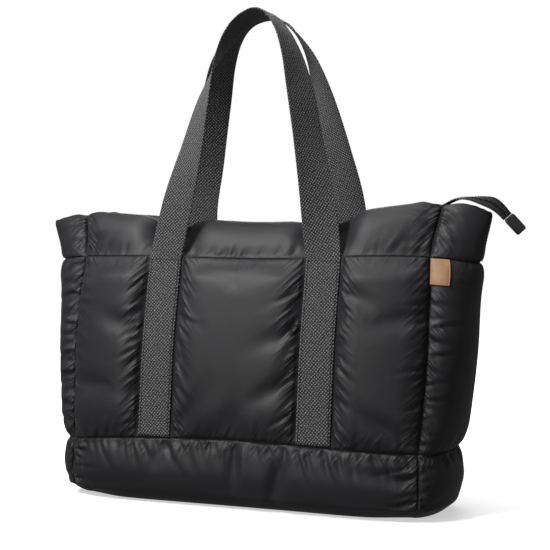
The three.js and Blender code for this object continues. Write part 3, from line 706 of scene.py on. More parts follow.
# Coarse woven webbing: raised yarns in two slanted rows that cross, on the strap's own map
def make_webbing():
    material, shader = plain_material("charcoal_webbing", (0.06, 0.06, 0.06), 0.8)
    shader.inputs["Sheen Weight"].default_value = 0.2
    shader.inputs["Sheen Roughness"].default_value = 0.6
    place = add_node(material, "ShaderNodeTexCoord").outputs["UV"]
    steps = {}
    for label, turn in (("rising", 38), ("falling", -52)):
        turned = add_node(material, "ShaderNodeMapping")
        turned.inputs["Rotation"].default_value = (0, 0, math.radians(turn))
        wave = add_node(material, "ShaderNodeTexWave", Scale=118.0, Distortion=2.4, Detail=1.5)
        wave.inputs["Detail Scale"].default_value = 2.0
        join(material, place, turned.inputs["Vector"])
        join(material, turned.outputs["Vector"], wave.inputs["Vector"])
        steps[label] = wave.outputs["Fac"]
    yarns = add_node(material, "ShaderNodeMath", operation="MULTIPLY")
    join(material, steps["rising"], yarns.inputs[0])
    join(material, steps["falling"], yarns.inputs[1])
    specks = add_node(material, "ShaderNodeTexNoise", Scale=520.0, Detail=1.0)
    join(material, place, specks.inputs["Vector"])
    height = add_node(material, "ShaderNodeMath", operation="MULTIPLY_ADD")
    join(material, specks.outputs["Fac"], height.inputs[0])
    height.inputs[1].default_value = 0.9
    join(material, yarns.outputs[0], height.inputs[2])
    # Colour follows the yarns' height: the low gaps between the raised yarns are painted nearly
    # black as painted shade in the weave, and the yarn tops keep the charcoal tone
    colour = add_ramp(material, height.outputs[0], WEBBING_YARN_AND_PAINTED_GAP_SHADES, (0.58, 0.88))
    join(material, colour, shader.inputs["Base Color"])
    bump = add_bump(material, height.outputs[0], 0.9, 0.0010)
    join(material, bump.outputs["Normal"], shader.inputs["Normal"])
    return material


# Fine woven tape, thread, moulded coil and painted metal share one simple build
def make_trim(name, shades, roughness, scale, depth):
    material, shader = plain_material(name, shades[1], roughness)
    place = add_node(material, "ShaderNodeTexCoord").outputs["Object"]
    mottle(material, shader, place, scale, shades)
    grain = add_node(material, "ShaderNodeTexNoise", Scale=scale * 6, Detail=2.0)
    join(material, place, grain.inputs["Vector"])
    bump = add_bump(material, grain.outputs["Fac"], 0.4, depth)
    join(material, bump.outputs["Normal"], shader.inputs["Normal"])
    return material


def make_leather():
    material, shader = plain_material("tan_leather", (0.5, 0.3, 0.16), 0.5)
    place = add_node(material, "ShaderNodeTexCoord").outputs["Object"]
    mottle(material, shader, place, 70.0, LEATHER_SHADES)
    pores = add_node(material, "ShaderNodeTexVoronoi", Scale=1100.0)
    join(material, place, pores.inputs["Vector"])
    bump = add_bump(material, pores.outputs["Distance"], 0.25, 0.0003)
    join(material, bump.outputs["Normal"], shader.inputs["Normal"])
    return material


def new_object(name, bm, look):
    mesh = bpy.data.meshes.new(name)
    bm.to_mesh(mesh)
    bm.free()
    mesh.materials.append(look)
    piece = bpy.data.objects.new(name, mesh)
    bpy.context.scene.collection.objects.link(piece)
    return piece


def place_piece(piece, slot, *nodes):
    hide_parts(*nodes)
    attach(piece, "root")


def set_points(mesh, points):
    mesh.vertices.foreach_set("co", np.asarray(points, dtype=np.float32).ravel())
    mesh.update()


def get_points(mesh):
    points = np.empty(len(mesh.vertices) * 3, dtype=np.float32)
    mesh.vertices.foreach_get("co", points)
    return points.reshape(-1, 3).astype(float)


# Small puckers that run from a seam into the cloth. across and up are places on the wall in
# metres. start gives the seam's end, run its direction and into the way into the cloth.
def pucker_depth(across, up, seam, rng):
    depth = np.zeros_like(across)
    travelled = seam["spacing"] * 0.5
    start = np.array(seam["start"])
    run = np.array(seam["run"])
    into = np.array(seam["into"])
    while travelled < seam["length"]:
        slant = math.radians(seam["slant"] + rng.uniform(-22, 22))
        direction = into * math.cos(slant) + run * math.sin(slant)
        normal = np.array([-direction[1], direction[0]])
        reach = seam["reach"] * rng.uniform(0.45, 1.35)
        width = seam["width"] * rng.uniform(0.7, 1.4)
        sink = seam["depth"] * rng.uniform(0.35, 1.2)
        origin = start + run * travelled
        lengthwise = (across - origin[0]) * direction[0] + (up - origin[1]) * direction[1]
        sideways = (across - origin[0]) * normal[0] + (up - origin[1]) * normal[1]
        fade = np.clip(lengthwise / (reach * 0.3), 0, None)
        fade = np.minimum(fade, 1) * np.exp(-np.clip(lengthwise / reach, 0, None) ** 2 * 2)
        spread = width * (0.75 + 0.6 * np.clip(lengthwise / reach, 0, 2))
        valley = np.exp(-(sideways / spread) ** 2)
        ridge = np.exp(-((sideways - 1.5 * spread) / (1.3 * spread)) ** 2)
        depth += sink * fade * (valley - 0.6 * ridge)
        travelled += seam["spacing"] * rng.uniform(0.5, 1.5)
    return depth


def seam_row(start, run, into, length, kind):
    spacing, reach, slant, width, depth = PUCKER_ROWS[kind]
    return {
        "start": start, "run": run, "into": into, "length": length, "spacing": spacing,
        "reach": reach, "slant": slant, "width": width, "depth": depth,
    }


# Depth of all the puckers of a wall, none on its edge
def all_puckers(seams, across, up, to_edge, rng, fade=0.006):
    depth = sum(pucker_depth(across, up, seam, rng) for seam in seams)
    return depth * smooth_share(to_edge, 0, fade)


# Lets the cloth of a wall settle over its filling: held fast at its seams, softly on the
# filling, with spare cloth near the seams that gathers into puckers
def settle_cloth(sheet, held, spare, pressure):
    seams = sheet.vertex_groups.new(name="held")
    slack = sheet.vertex_groups.new(name="slack")
    for index, (hold, extra) in enumerate(zip(held, spare)):
        seams.add([index], float(hold), "REPLACE")
        slack.add([index], float(extra), "REPLACE")
    cloth = sheet.modifiers.new("padding", "CLOTH")
    settings = cloth.settings
    settings.quality = 5
    settings.mass = 0.3
    settings.tension_stiffness = 15
    settings.compression_stiffness = 15
    settings.shear_stiffness = 12
    settings.bending_stiffness = CLOTH_BENDING
    settings.tension_damping = 5
    settings.compression_damping = 5
    settings.shear_damping = 5
    settings.bending_damping = 0.5
    settings.air_damping = 2
    settings.vertex_group_mass = "held"
    settings.pin_stiffness = CLOTH_HOLD
    settings.use_pressure = True
    settings.uniform_pressure_force = pressure
    settings.vertex_group_shrink = "slack"
    settings.shrink_min = 0.0
    settings.shrink_max = -CLOTH_SPARE
    settings.effector_weights.gravity = 0
    cloth.collision_settings.use_collision = False
    cloth.point_cache.frame_start = 1
    cloth.point_cache.frame_end = CLOTH_FRAMES
    before = get_points(sheet.data)
    for step in range(1, CLOTH_FRAMES + 1):
        bpy.context.scene.frame_set(step)
    settled = bpy.data.meshes.new_from_object(
        sheet.evaluated_get(bpy.context.evaluated_depsgraph_get())
    )
    after = get_points(settled)
    bpy.data.meshes.remove(settled)
    sheet.modifiers.remove(cloth)
    sheet.vertex_groups.clear()
    bpy.context.scene.frame_set(1)
    moved = after - before
    distance = np.linalg.norm(moved, axis=1, keepdims=True)
    limit = CLOTH_REACH / np.maximum(distance, CLOTH_REACH)
    set_points(sheet.data, before + moved * limit)


# One padded wall: an outer sheet that settles, an inner sheet and the seam edge between them.
# ends gives the creases' shares, side_at the way to an upright seam, and calm the smooth parts.
def make_wall(name, size, levels, faces_at, puckers_at, spare_at, held_at, pressure, look,
              ends, side_at=None, calm=None):
    bm = bmesh.new()
    columns = max(8, round(size[0] / GRID_STEP))
    rows = max(6, round(size[1] / GRID_STEP))
    bmesh.ops.create_grid(bm, x_segments=columns, y_segments=rows, size=1)
    sheet = new_object(name + "_cloth", bm, look)
    grid = get_points(sheet.data)
    along = grid[:, 0]
    level = levels[0] + (levels[1] - levels[0]) * (grid[:, 1] + 1) / 2
    outer, inner, outward = faces_at(along, level)
    depth = puckers_at(along, level)
    to_side = side_at(along, level) if side_at else (1 - np.abs(along)) * size[0] / 2
    up = (grid[:, 1] + 1) / 2 * size[1]
    to_end = np.minimum(up, size[1] - up)
    still = calm(along, level) if calm else np.ones_like(along)
    write_creases(sheet.data, "side", to_side, up + to_side * CREASE_SLANT, still)
    end_share = still * np.where(up < size[1] / 2, ends[0], ends[1])
    write_creases(sheet.data, "end", to_end, along * size[0] / 2 + up * GATHER_SLANT, end_share)
    set_points(sheet.data, outer - outward * depth[:, None])
    if outward_share(sheet.data, outward) < 0:
        flip_faces(sheet.data)
    settle_cloth(sheet, held_at(along, level), spare_at(along, level), pressure)
    close_wall(sheet, inner)
    sheet.data.shade_smooth()
    place_piece(sheet, "shell", name)
    walls[name] = surface_of(sheet)


# Map of the creases that run out of one kind of seam, and how far the cloth is gathered there
def write_creases(mesh, kind, into, beside, still):
    layer = mesh.uv_layers.new(name=kind + "_map")
    corners = np.empty(len(mesh.loops), dtype=np.int32)
    mesh.loops.foreach_get("vertex_index", corners)
    places = np.column_stack([into, beside])[corners]
    layer.data.foreach_set("uv", places.astype(np.float32).ravel())
    gather = mesh.attributes.new(kind + "_gather", "FLOAT", "POINT")
    share = np.maximum(0, np.exp(-(into / CREASE_REACH) ** 1.5) - 0.08)
    share = share * smooth_share(into, -0.001, 0.003) * still
    gather.data.foreach_set("value", share.astype(np.float32))


def outward_share(mesh, outward):
    normals = np.empty(len(mesh.vertices) * 3, dtype=np.float32)
    mesh.vertex_normals.foreach_get("vector", normals)
    return float((normals.reshape(-1, 3) * outward).sum())


def flip_faces(mesh):
    bm = bmesh.new()
    bm.from_mesh(mesh)
    bmesh.ops.reverse_faces(bm, faces=bm.faces)
    bm.to_mesh(mesh)
    bm.free()


def close_wall(sheet, inner):
    bm = bmesh.new()
    bm.from_mesh(sheet.data)
    bm.verts.ensure_lookup_table()
    front = list(bm.verts)
    copied = bmesh.ops.duplicate(bm, geom=list(bm.faces))
    behind = copied["vert_map"]
    for index, vertex in enumerate(front):
        behind[vertex].co = inner[index]
    back_faces = [item for item in copied["geom"] if isinstance(item, bmesh.types.BMFace)]
    bmesh.ops.reverse_faces(bm, faces=back_faces)
    edges = [edge for edge in bm.edges if edge.is_boundary]
    bmesh.ops.bridge_loops(bm, edges=edges)
    bm.to_mesh(sheet.data)
    bm.free()


# Faces of one wall, from its place on the body, its filling and its bay
def faces_of(place_at, facing, filling_at, bay_at=no_bay):
    def faces_at(along, level):
        place = place_at(facing, along, level)
        return wall_faces(place, filling_at(along, level), bay_at(along, level))
    return faces_at


def fade_near(distance, reach):
    return np.exp(-np.clip(distance, 0, None) / reach)


# Puckers of a main panel: along the strap columns, the corner seams, the base seam and the rim
def panel_puckers(facing):
    rng = random.Random(11 if facing < 0 else 12)
    half = BODY_WIDTH / 2
    sewn = PANEL_HEIGHT * 0.86
    seams = []
    for side in (-1, 1):
        inside, outside = (RIGHT, LEFT) if side < 0 else (LEFT, RIGHT)
        inner, outer = side * COLUMN_INNER, side * COLUMN_OUTER
        seams.append(seam_row((inner, 0.01), UP, inside, sewn, "panel_strap_inner"))
        seams.append(seam_row((outer, 0.01), UP, outside, sewn, "panel_strap_outer"))
        seams.append(seam_row((side * half * 1.015, 0.0), UP, inside, PANEL_HEIGHT, "panel_corner"))
    seams.append(seam_row((-half, 0), RIGHT, UP, BODY_WIDTH, "panel_base"))
    seams.append(seam_row((-half, PANEL_HEIGHT), RIGHT, DOWN, BODY_WIDTH, "panel_rim"))

    def depth_at(along, level):
        across = panel_distance(along, level) * np.sign(along)
        to_column, to_corner = panel_gaps(along, level)
        to_end = np.minimum(level, 1 - level) * PANEL_HEIGHT
        to_edge = np.minimum(np.minimum(to_column, to_corner), to_end)
        return all_puckers(seams, across, level * PANEL_HEIGHT, to_edge, rng)

    return depth_at


def panel_side(along, level):
    to_column, to_corner = panel_gaps(along, level)
    return np.minimum(np.maximum(to_column, 0), to_corner)


def panel_spare(along, level):
    to_column, to_corner = panel_gaps(along, level)
    near = np.maximum(fade_near(to_column, 0.016), fade_near(to_corner, 0.014))
    return np.clip(np.maximum(near, fade_near(level * PANEL_HEIGHT, 0.014)), 0, 1)


def panel_held(along, level):
    distance = panel_distance(along, level)
    under_strap = (distance >= COLUMN_INNER - 0.001) & (distance <= COLUMN_OUTER + 0.001)
    border = (np.abs(along) > 0.999) | (level <= 0) | (level >= 1)
    return np.where(under_strap | border, 1.0, SOFT_HOLD)


def make_panels(look):
    for name, facing in (("front_panel", -1), ("back_panel", 1)):
        make_wall(name, (BODY_WIDTH, PANEL_HEIGHT), (-SEAM_LAP, 1 + SEAM_LAP),
                  faces_of(panel_place, facing, panel_filling), panel_puckers(facing),
                  panel_spare, panel_held, LARGE_PRESSURE, look, PANEL_CREASES, panel_side)


def collar_puckers(facing):
    rng = random.Random(21 if facing < 0 else 22)
    half = BODY_WIDTH / 2
    seams = [seam_row((-half, 0), RIGHT, UP, BODY_WIDTH, "collar_rim")]
    for side, inside in ((-1, RIGHT), (1, LEFT)):
        for start, kind in ((half * 1.02, "collar_corner"), (STRAP_SPACING / 2, "collar_strap")):
            seams.append(seam_row((side * start, 0.0), UP, inside, COLLAR_HEIGHT, kind))

    def depth_at(along, level):
        across = panel_distance(along, level) * np.sign(along)
        to_corner = half_width_at(level) - panel_distance(along, level)
        to_edge = np.minimum(to_corner, np.minimum(level - 1, 2 - level) * COLLAR_HEIGHT)
        return all_puckers(seams, across, (level - 1) * COLLAR_HEIGHT, to_edge, rng)

    return depth_at


def border_held(low, high):
    def held_at(along, level):
        border = (np.abs(along) > 0.999) | (level <= low) | (level >= high)
        return np.where(border, 1.0, SOFT_HOLD)
    return held_at


def border_spare(width, height, low, high):
    def spare_at(along, level):
        to_corner = (1 - np.abs(along)) * width / 2
        to_seam = np.minimum(level - low, high - level) / (high - low) * height
        return np.clip(fade_near(np.minimum(to_corner, to_seam), 0.014), 0, 1)
    return spare_at


def make_collars(look):
    for name, facing in (("front_collar", -1), ("back_collar", 1)):
        make_wall(name, (BODY_WIDTH, COLLAR_HEIGHT), (1, 2),
                  faces_of(panel_place, facing, collar_filling, collar_bay), collar_puckers(facing),
                  border_spare(BODY_WIDTH, COLLAR_HEIGHT, 1, 2), border_held(1, 2),
                  SMALL_PRESSURE, look, COLLAR_CREASES)


# Puckers of a gusset or wing from both of its corner seams and from its two level seams
def side_puckers(seed, kind, low, high, width, height, calm=None):
    rng = random.Random(seed)
    seams = []
    for side, inside in ((-1, RIGHT), (1, LEFT)):
        seams.append(seam_row((side * width / 2, 0.0), UP, inside, height, kind + "_corner"))
    for up, inside in ((0, UP), (height, DOWN)):
        seams.append(seam_row((-width / 2, up), RIGHT, inside, width, kind + "_edge"))

    def depth_at(along, level):
        across = along * width / 2
        share = (level - low) / (high - low)
        to_edge = np.minimum(width / 2 - np.abs(across), np.minimum(share, 1 - share) * height)
        total = all_puckers(seams, across, share * height, to_edge, rng, fade=0.005)
        return total * calm(along, level) if calm else total

    return depth_at


# The label lies flat, so the cloth behind it stays smooth
def under_label(along, level):
    near_along = smooth_share(np.abs(along - (LABEL_START + LABEL_FINISH) / 2), 0.16, 0.3)
    near_level = smooth_share(np.abs(level - (LABEL_LOW + LABEL_HIGH) / 2), 0.075, 0.13)
    return np.maximum(near_along, near_level)


def make_gussets(look):
    for name, facing in (("left_gusset", -1), ("right_gusset", 1)):
        calm = under_label if facing > 0 else None
        puckers = side_puckers(31 + facing, "gusset", 0, 1, GUSSET_WIDTH, PANEL_HEIGHT, calm)
        make_wall(name, (GUSSET_WIDTH, PANEL_HEIGHT), (-SEAM_LAP, 1 + SEAM_LAP),
                  faces_of(gusset_place, facing, gusset_filling), puckers,
                  border_spare(GUSSET_WIDTH, PANEL_HEIGHT, 0, 1), border_held(0, 1),
                  LARGE_PRESSURE, look, GUSSET_CREASES, calm=calm)


def make_wings(look):
    for name, facing in (("left_wing", -1), ("right_wing", 1)):
        puckers = side_puckers(41 + facing, "wing", 1, 2, WING_WIDTH, COLLAR_HEIGHT)
        make_wall(name, (WING_WIDTH, COLLAR_HEIGHT), (1, 2),
                  faces_of(gusset_place, facing, wing_filling), puckers,
                  border_spare(WING_WIDTH, COLLAR_HEIGHT, 1, 2), border_held(1, 2),
                  SMALL_PRESSURE, look, WING_CREASES)


# Gathers that hang from the base seam, and puckers from the upright seams at both ends
def band_puckers(seed, kind, width):
    rng = random.Random(seed)
    seams = [seam_row((-width / 2, BAND_HEIGHT), RIGHT, DOWN, width, kind + "_seam")]
    for side, inside in ((-1, RIGHT), (1, LEFT)):
        start = (side * width / 2, BAND_HEIGHT * 0.25)
        seams.append(seam_row(start, UP, inside, BAND_HEIGHT * 0.7, kind + "_end"))

    def depth_at(along, row):
        across = along * width / 2
        to_end = np.minimum(row, 1 - row) * BAND_HEIGHT
        to_edge = np.minimum(width / 2 - np.abs(across), to_end)
        depth = all_puckers(seams, across, row * BAND_HEIGHT, to_edge, rng)
        return depth * smooth_share(row, 0.1, 0.35)

    return depth_at


def make_band_side(name, kind, seed, width, faces_at, look):
    make_wall(name, (width, BAND_HEIGHT), (0, 1), faces_at, band_puckers(seed, kind, width),
              border_spare(width, BAND_HEIGHT, 0, 1), border_held(0, 1), LARGE_PRESSURE, look,
              BAND_CREASES)


def make_base_band(look):
    for name, facing in (("base_front", -1), ("base_back", 1)):
        def faces_at(along, row, facing=facing):
            ground = np.zeros_like(along)
            to_corner = (1 - np.abs(along)) * half_width_at(ground)
            return band_faces(panel_place(facing, along, ground), along, row, to_corner)
        make_band_side(name, "long_band", 51 + facing, BODY_WIDTH, faces_at, look)
    for name, facing in (("base_left", -1), ("base_right", 1)):
        def faces_at(along, row, facing=facing):
            ground = np.zeros_like(along)
            to_corner = (1 - np.abs(along)) * (BASE_DEPTH / 2)
            beyond = np.full_like(along, facing * 2.0)
            return band_faces(gusset_place(facing, along, ground), beyond, row, to_corner)
        make_band_side(name, "short_band", 61 + facing, GUSSET_WIDTH, faces_at, look)


# Strips such as straps and tapes: stations hold the middle line and the way across
def section_frames(centres, acrosses):
    frames = []
    for i, centre in enumerate(centres):
        before = centres[max(0, i - 1)]
        after = centres[min(len(centres) - 1, i + 1)]
        tangent = (after - before) / np.linalg.norm(after - before)
        across = acrosses[i] - tangent * acrosses[i].dot(tangent)
        across /= np.linalg.norm(across)
        frames.append((centre, across, np.cross(tangent, across)))
    return frames


# Closed strip with rounded edges. low and high give its two edges at each station, and its
# own map runs across and along the strip in metres.
def make_strip(name, frames, low, high, thickness, look):
    last = len(frames) - 1
    bm = bmesh.new()
    bmesh.ops.create_grid(bm, x_segments=STRIP_SIDES, y_segments=last, size=1)
    layer = bm.loops.layers.uv.new("strip")
    travelled = [0.0]
    for i in range(1, len(frames)):
        travelled.append(travelled[-1] + float(np.linalg.norm(frames[i][0] - frames[i - 1][0])))
    places = {}
    for vertex in bm.verts:
        step = round((vertex.co.y + 1) / 2 * last)
        turn = round((vertex.co.x + 1) / 2 * STRIP_SIDES) / STRIP_SIDES
        places[vertex] = (step, *rounded_profile(turn, low[step], high[step], thickness))
    for face in bm.faces:
        for loop in face.loops:
            step, beside, _ = places[loop.vert]
            loop[layer].uv = (beside, travelled[step])
    for vertex, (step, beside, height) in places.items():
        centre, across, up = frames[step]
        vertex.co = centre + across * beside + up * height
    bmesh.ops.remove_doubles(bm, verts=bm.verts, dist=1e-6)
    bmesh.ops.holes_fill(bm, edges=[edge for edge in bm.edges if edge.is_boundary], sides=0)
    bmesh.ops.recalc_face_normals(bm, faces=bm.faces)
    strip = new_object(name, bm, look)
    strip.data.shade_smooth()
    return strip


# A place round a flat section with round edges: its way across and its height
def rounded_profile(share, low, high, thickness):
    angle = 2 * math.pi * share
    flatness = abs(math.cos(angle)) ** 0.35 * math.copysign(1, math.cos(angle))
    height = abs(math.sin(angle)) ** 0.35 * math.copysign(1, math.sin(angle))
    return (low + high) / 2 + (high - low) / 2 * flatness, thickness / 2 * height


def sewn_centre(facing, side, level):
    level = np.atleast_1d(np.asarray(level, dtype=float))
    along = np.full_like(level, side * STRAP_SPACING / BODY_WIDTH)
    points, _ = panel_place(facing, along, level)
    stand = SEAM_THICKNESS / 2 + CLEARANCE + STRAP_THICKNESS / 2
    x = lean_at(level) + side * STRAP_SPACING / 2
    return np.column_stack([x, points[:, 1] + facing * stand, points[:, 2]])


# Centripetal curve through points, the same as the frame's
def curve_point(points, share):
    place = (len(points) - 1) * share
    low = min(int(place), len(points) - 2)
    t = place - low
    before = points[low - 1] if low > 0 else 2 * points[0] - points[1]
    after = points[low + 2] if low + 2 < len(points) else 2 * points[-1] - points[-2]
    start, end = points[low], points[low + 1]
    step0 = np.linalg.norm(start - before) ** 0.5
    step1 = np.linalg.norm(end - start) ** 0.5
    step2 = np.linalg.norm(after - end) ** 0.5
    slope1 = (start - before) / step0 - (end - before) / (step0 + step1) + (end - start) / step1
    slope2 = (end - start) / step1 - (after - start) / (step1 + step2) + (after - end) / step2
    slope1 = slope1 * step1
    slope2 = slope2 * step1
    return (
        start + slope1 * t
        + (-3 * start + 3 * end - 2 * slope1 - slope2) * t ** 2
        + (2 * start - 2 * end + slope1 + slope2) * t ** 3
    )


# Stations of a handle: up its sewn left leg, over the free loop and down its sewn right leg
def handle_stations(facing, run, lean):
    sewn_levels = np.linspace(*SEWN_LEVELS, SEWN_STATIONS)
    centres = list(sewn_centre(facing, -1, sewn_levels))
    acrosses = [np.array([1.0, 0, 0])] * SEWN_STATIONS
    rim_end = sewn_centre(facing, -1, 1.0)[0]
    top_offset = facing * (STRAP_WIDTH + HANDLE_GAP) / 2
    rows = [*run, *run[-2::-1]]
    points, turns = [], []
    for i, row in enumerate(rows):
        left = i < len(run)
        spread = -row["spread"] if left else row["spread"]
        turns.append(row["left_turn"] if left else 180 - row["right_turn"])
        points.append(np.array([
            float(lean_at(1.0)) + spread * STRAP_SPACING / 2 + lean * row["rise"],
            rim_end[1] + (top_offset - rim_end[1]) * row["inward"],
            rim_end[2] + (HANDLE_HEIGHT - STRAP_THICKNESS / 2 - rim_end[2]) * row["rise"],
        ]))
    turn_rows = table("place turn", list(enumerate(turns)))
    for share in np.linspace(0, 1, FREE_STATIONS):
        turn = math.radians(float(read_table(turn_rows, "turn", share * (len(rows) - 1))))
        centres.append(curve_point(points, share))
        acrosses.append(np.array([math.cos(turn), facing * math.sin(turn), 0]))
    centres.extend(sewn_centre(facing, 1, sewn_levels[::-1]))
    acrosses.extend([np.array([-1.0, 0, 0])] * SEWN_STATIONS)
    return section_frames(centres, acrosses)


def make_handles(look):
    runs = {}
    for name, facing, run, lean in (
        ("front_handle", -1, FRONT_RUN, FRONT_HANDLE_LEAN),
        ("back_handle", 1, BACK_RUN, BACK_HANDLE_LEAN),
    ):
        frames = handle_stations(facing, run, lean)
        low = [-STRAP_WIDTH / 2] * len(frames)
        high = [STRAP_WIDTH / 2] * len(frames)
        strap = make_strip(name + "_webbing", frames, low, high, STRAP_THICKNESS, look)
        place_piece(strap, "webbing", name)
        runs[name] = frames
    return runs


# Middle line of the zip: level with the collars' zip edges, then out along the free tail
def zip_stations():
    half_width = float(half_width_at(2.0))
    half_length = half_width * ZIP_SHARE
    slot = ZIP_OPENING / 2 - CLEARANCE
    centres, acrosses, halves = [], [], []
    for x in np.linspace(-half_length, half_length, ZIP_STATIONS):
        height = float(height_at(np.array(x / half_width), np.array(2.0)))
        centres.append(np.array([x, 0, height]))
        acrosses.append(np.array([0, 1.0, 0]))
        halves.append(slot)
    start = centres[-1]
    for place in np.linspace(0.03, 1, TAIL_STATIONS):
        roll = math.radians(float(read_table(ZIP_TAIL, "roll", place)))
        wide = float(smooth_share(place, 0.25, 0.45))
        centres.append(start + np.array([
            TAIL_LENGTH * place,
            TAIL_WIDTH * float(read_table(ZIP_TAIL, "drift", place)),
            TAIL_RISE * float(read_table(ZIP_TAIL, "lift", place)),
        ]))
        acrosses.append(np.array([0, math.cos(roll), math.sin(roll)]))
        halves.append(slot + (TAIL_WIDTH / 2 - slot) * wide)
    return section_frames(centres, acrosses), halves


# Many copies of one small bead. Each place is its centre and its three half-length vectors.
def make_beads(name, places, look):
    bm = bmesh.new()
    bmesh.ops.create_uvsphere(bm, u_segments=6, v_segments=4, radius=1)
    bead = bpy.data.meshes.new(name + "_bead")
    bm.to_mesh(bead)
    bm.free()
    shape = get_points(bead)
    bm = bmesh.new()
    for _ in places:
        bm.from_mesh(bead)
    beads = new_object(name, bm, look)
    bpy.data.meshes.remove(bead)
    centres = np.array([place[0] for place in places])
    axes = np.array([place[1:] for place in places])
    set_points(beads.data, (centres[:, None] + shape @ axes).reshape(-1, 3))
    beads.data.shade_smooth()
    return beads


# Evenly spaced places along a line, with the way along it and the way out of it
def walk_line(points, outwards, pitch):
    steps = np.linalg.norm(np.diff(points, axis=0), axis=1)
    travelled = np.concatenate([[0], np.cumsum(steps)])
    places = np.arange(pitch / 2, travelled[-1], pitch)
    for place in places:
        i = min(int(np.searchsorted(travelled, place, side="right")) - 1, len(steps) - 1)
        run = (points[i + 1] - points[i]) / steps[i]
        centre = points[i] + run * (place - travelled[i])
        up = outwards[i] - run * float(outwards[i].dot(run))
        yield centre, run, up / np.linalg.norm(up)


# Rows of small teeth on both sides of the zip's middle line
def make_coil(frames, look):
    centres = np.array([section[0] for section in frames])
    ups = np.array([section[2] for section in frames])
    lift = TAPE_THICKNESS / 2 + CLEARANCE + COIL_HEIGHT / 2
    places = []
    for centre, run, up in walk_line(centres, ups, COIL_PITCH):
        across = np.cross(up, run)
        for side in (-1, 1):
            middle = centre + run * side * COIL_PITCH / 4
            middle = middle + across * side * COIL_WIDTH * 0.24 + up * lift
            halves = (run * COIL_PITCH * 0.32, across * COIL_WIDTH * 0.27, up * COIL_HEIGHT / 2)
            places.append((middle, *halves))
    coil = make_beads("zip_coil_teeth", places, look)
    place_piece(coil, "zip_coil", "zip_coil")


def make_zip(tape_look, coil_look, metal_look, shell_look):
    frames, halves = zip_stations()
    split = CLEARANCE / 2
    front = make_strip("zip_tape_front_woven", frames, [-h for h in halves], [-split] * len(halves),
                       TAPE_THICKNESS, tape_look)
    back = make_strip("zip_tape_back_woven", frames, [split] * len(halves), halves,
                      TAPE_THICKNESS, tape_look)
    place_piece(front, "zip_tape", "zip_tape_front")
    place_piece(back, "zip_tape", "zip_tape_back")
    make_coil(frames, coil_look)
    make_tab(frames, shell_look)
    make_slider(metal_look)
    return frames, halves


# Folded fabric tab round the end of the zip's tail
def make_tab(frames, look):
    centre, across, up = frames[-1]
    run = centre - frames[-2][0]
    run /= np.linalg.norm(run)
    bm = bmesh.new()
    bmesh.ops.create_cube(bm, size=1)
    bmesh.ops.bevel(bm, geom=bm.edges[:], offset=0.16, segments=3, affect="EDGES", profile=0.5,
                    material=-1)
    middle = centre + run * (CLEARANCE + TAB_LENGTH / 2) + up * COIL_HEIGHT / 2
    for vertex in bm.verts:
        x, y, z = vertex.co
        pinch = 1 - 0.25 * max(0.0, x)
        vertex.co = (middle + run * x * TAB_LENGTH + across * y * TAIL_WIDTH
                     + up * z * TAB_THICKNESS * pinch)
    tab = new_object("zip_end_tab_folded", bm, look)
    tab.data.shade_smooth()
    place_piece(tab, "shell", "zip_end_tab")


# Small slider with a bridge and a pull at the closed end of the zip
def make_slider(look):
    low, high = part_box("zip_slider")
    size = high - low
    middle = (low + high) / 2
    bm = bmesh.new()
    parts = (
        ((0, 0, -0.36), (1.0, 1.0, 0.2)),
        ((0, 0, -0.02), (1.0, 0.9, 0.2)),
        ((-0.05, 0, 0.24), (0.4, 0.3, 0.3)),
        ((0.12, 0, 0.38), (0.72, 0.44, 0.16)),
    )
    for place, share in parts:
        cube = bmesh.ops.create_cube(bm, size=1)
        edges = list({edge for vertex in cube["verts"] for edge in vertex.link_edges})
        for vertex in cube["verts"]:
            vertex.co = Vector((
                (vertex.co.x * share[0] + place[0]) * size.x,
                (vertex.co.y * share[1] * (1 - 0.25 * (vertex.co.x > 0)) + place[1]) * size.y,
                (vertex.co.z * share[2] + place[2]) * size.z,
            )) + middle
        bmesh.ops.bevel(bm, geom=edges, offset=0.0003, segments=2, affect="EDGES", profile=0.5,
                        material=-1)
    slider = new_object("zip_slider_pull", bm, look)
    slider.data.shade_smooth()
    place_piece(slider, "zip_metal", "zip_slider")


# Thin bare leather label that lies on the right gusset
def make_label(look):
    bm = bmesh.new()
    bmesh.ops.create_grid(bm, x_segments=40, y_segments=12, size=1)
    verts = list(bm.verts)
    along = np.array([LABEL_START + (LABEL_FINISH - LABEL_START) * (v.co.x + 1) / 2 for v in verts])
    level = np.array([LABEL_LOW + (LABEL_HIGH - LABEL_LOW) * (v.co.y + 1) / 2 for v in verts])
    outer, _, outward = faces_of(gusset_place, 1, gusset_filling)(along, level)
    for vertex, point, direction in zip(verts, outer, outward):
        fold = math.exp(-((vertex.co.x - 0.86) / 0.04) ** 2) * LABEL_THICKNESS * 0.35
        vertex.co = point + direction * (2.5 * CLEARANCE - fold)
    bmesh.ops.recalc_face_normals(bm, faces=bm.faces)
    label = new_object("side_label_leather", bm, look)
    if outward_share(label.data, outward) < 0:
        flip_faces(label.data)
    thick = label.modifiers.new("thickness", "SOLIDIFY")
    thick.thickness = LABEL_THICKNESS
    thick.offset = 1
    edge = label.modifiers.new("edge", "BEVEL")
    edge.width = LABEL_THICKNESS / 4
    edge.segments = 2
    label.data.shade_smooth()
    place_piece(label, "label_leather", "side_label")


def surface_of(piece):
    bpy.context.view_layer.update()
    return BVHTree.FromObject(piece, bpy.context.evaluated_depsgraph_get())


# Flat bottom panel: the frame's own outline with a soft edge
def make_bottom(look):
    bm = bmesh.new()
    bm.from_mesh(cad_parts["base_bottom"].data)
    bmesh.ops.remove_doubles(bm, verts=bm.verts, dist=1e-6)
    bmesh.ops.dissolve_limit(bm, angle_limit=math.radians(1), verts=bm.verts, edges=bm.edges)
    bottom = new_object("base_bottom_panel", bm, look)
    edge = bottom.modifiers.new("edge", "BEVEL")
    edge.width = 0.0012
    edge.segments = 3
    place_piece(bottom, "shell", "base_bottom")


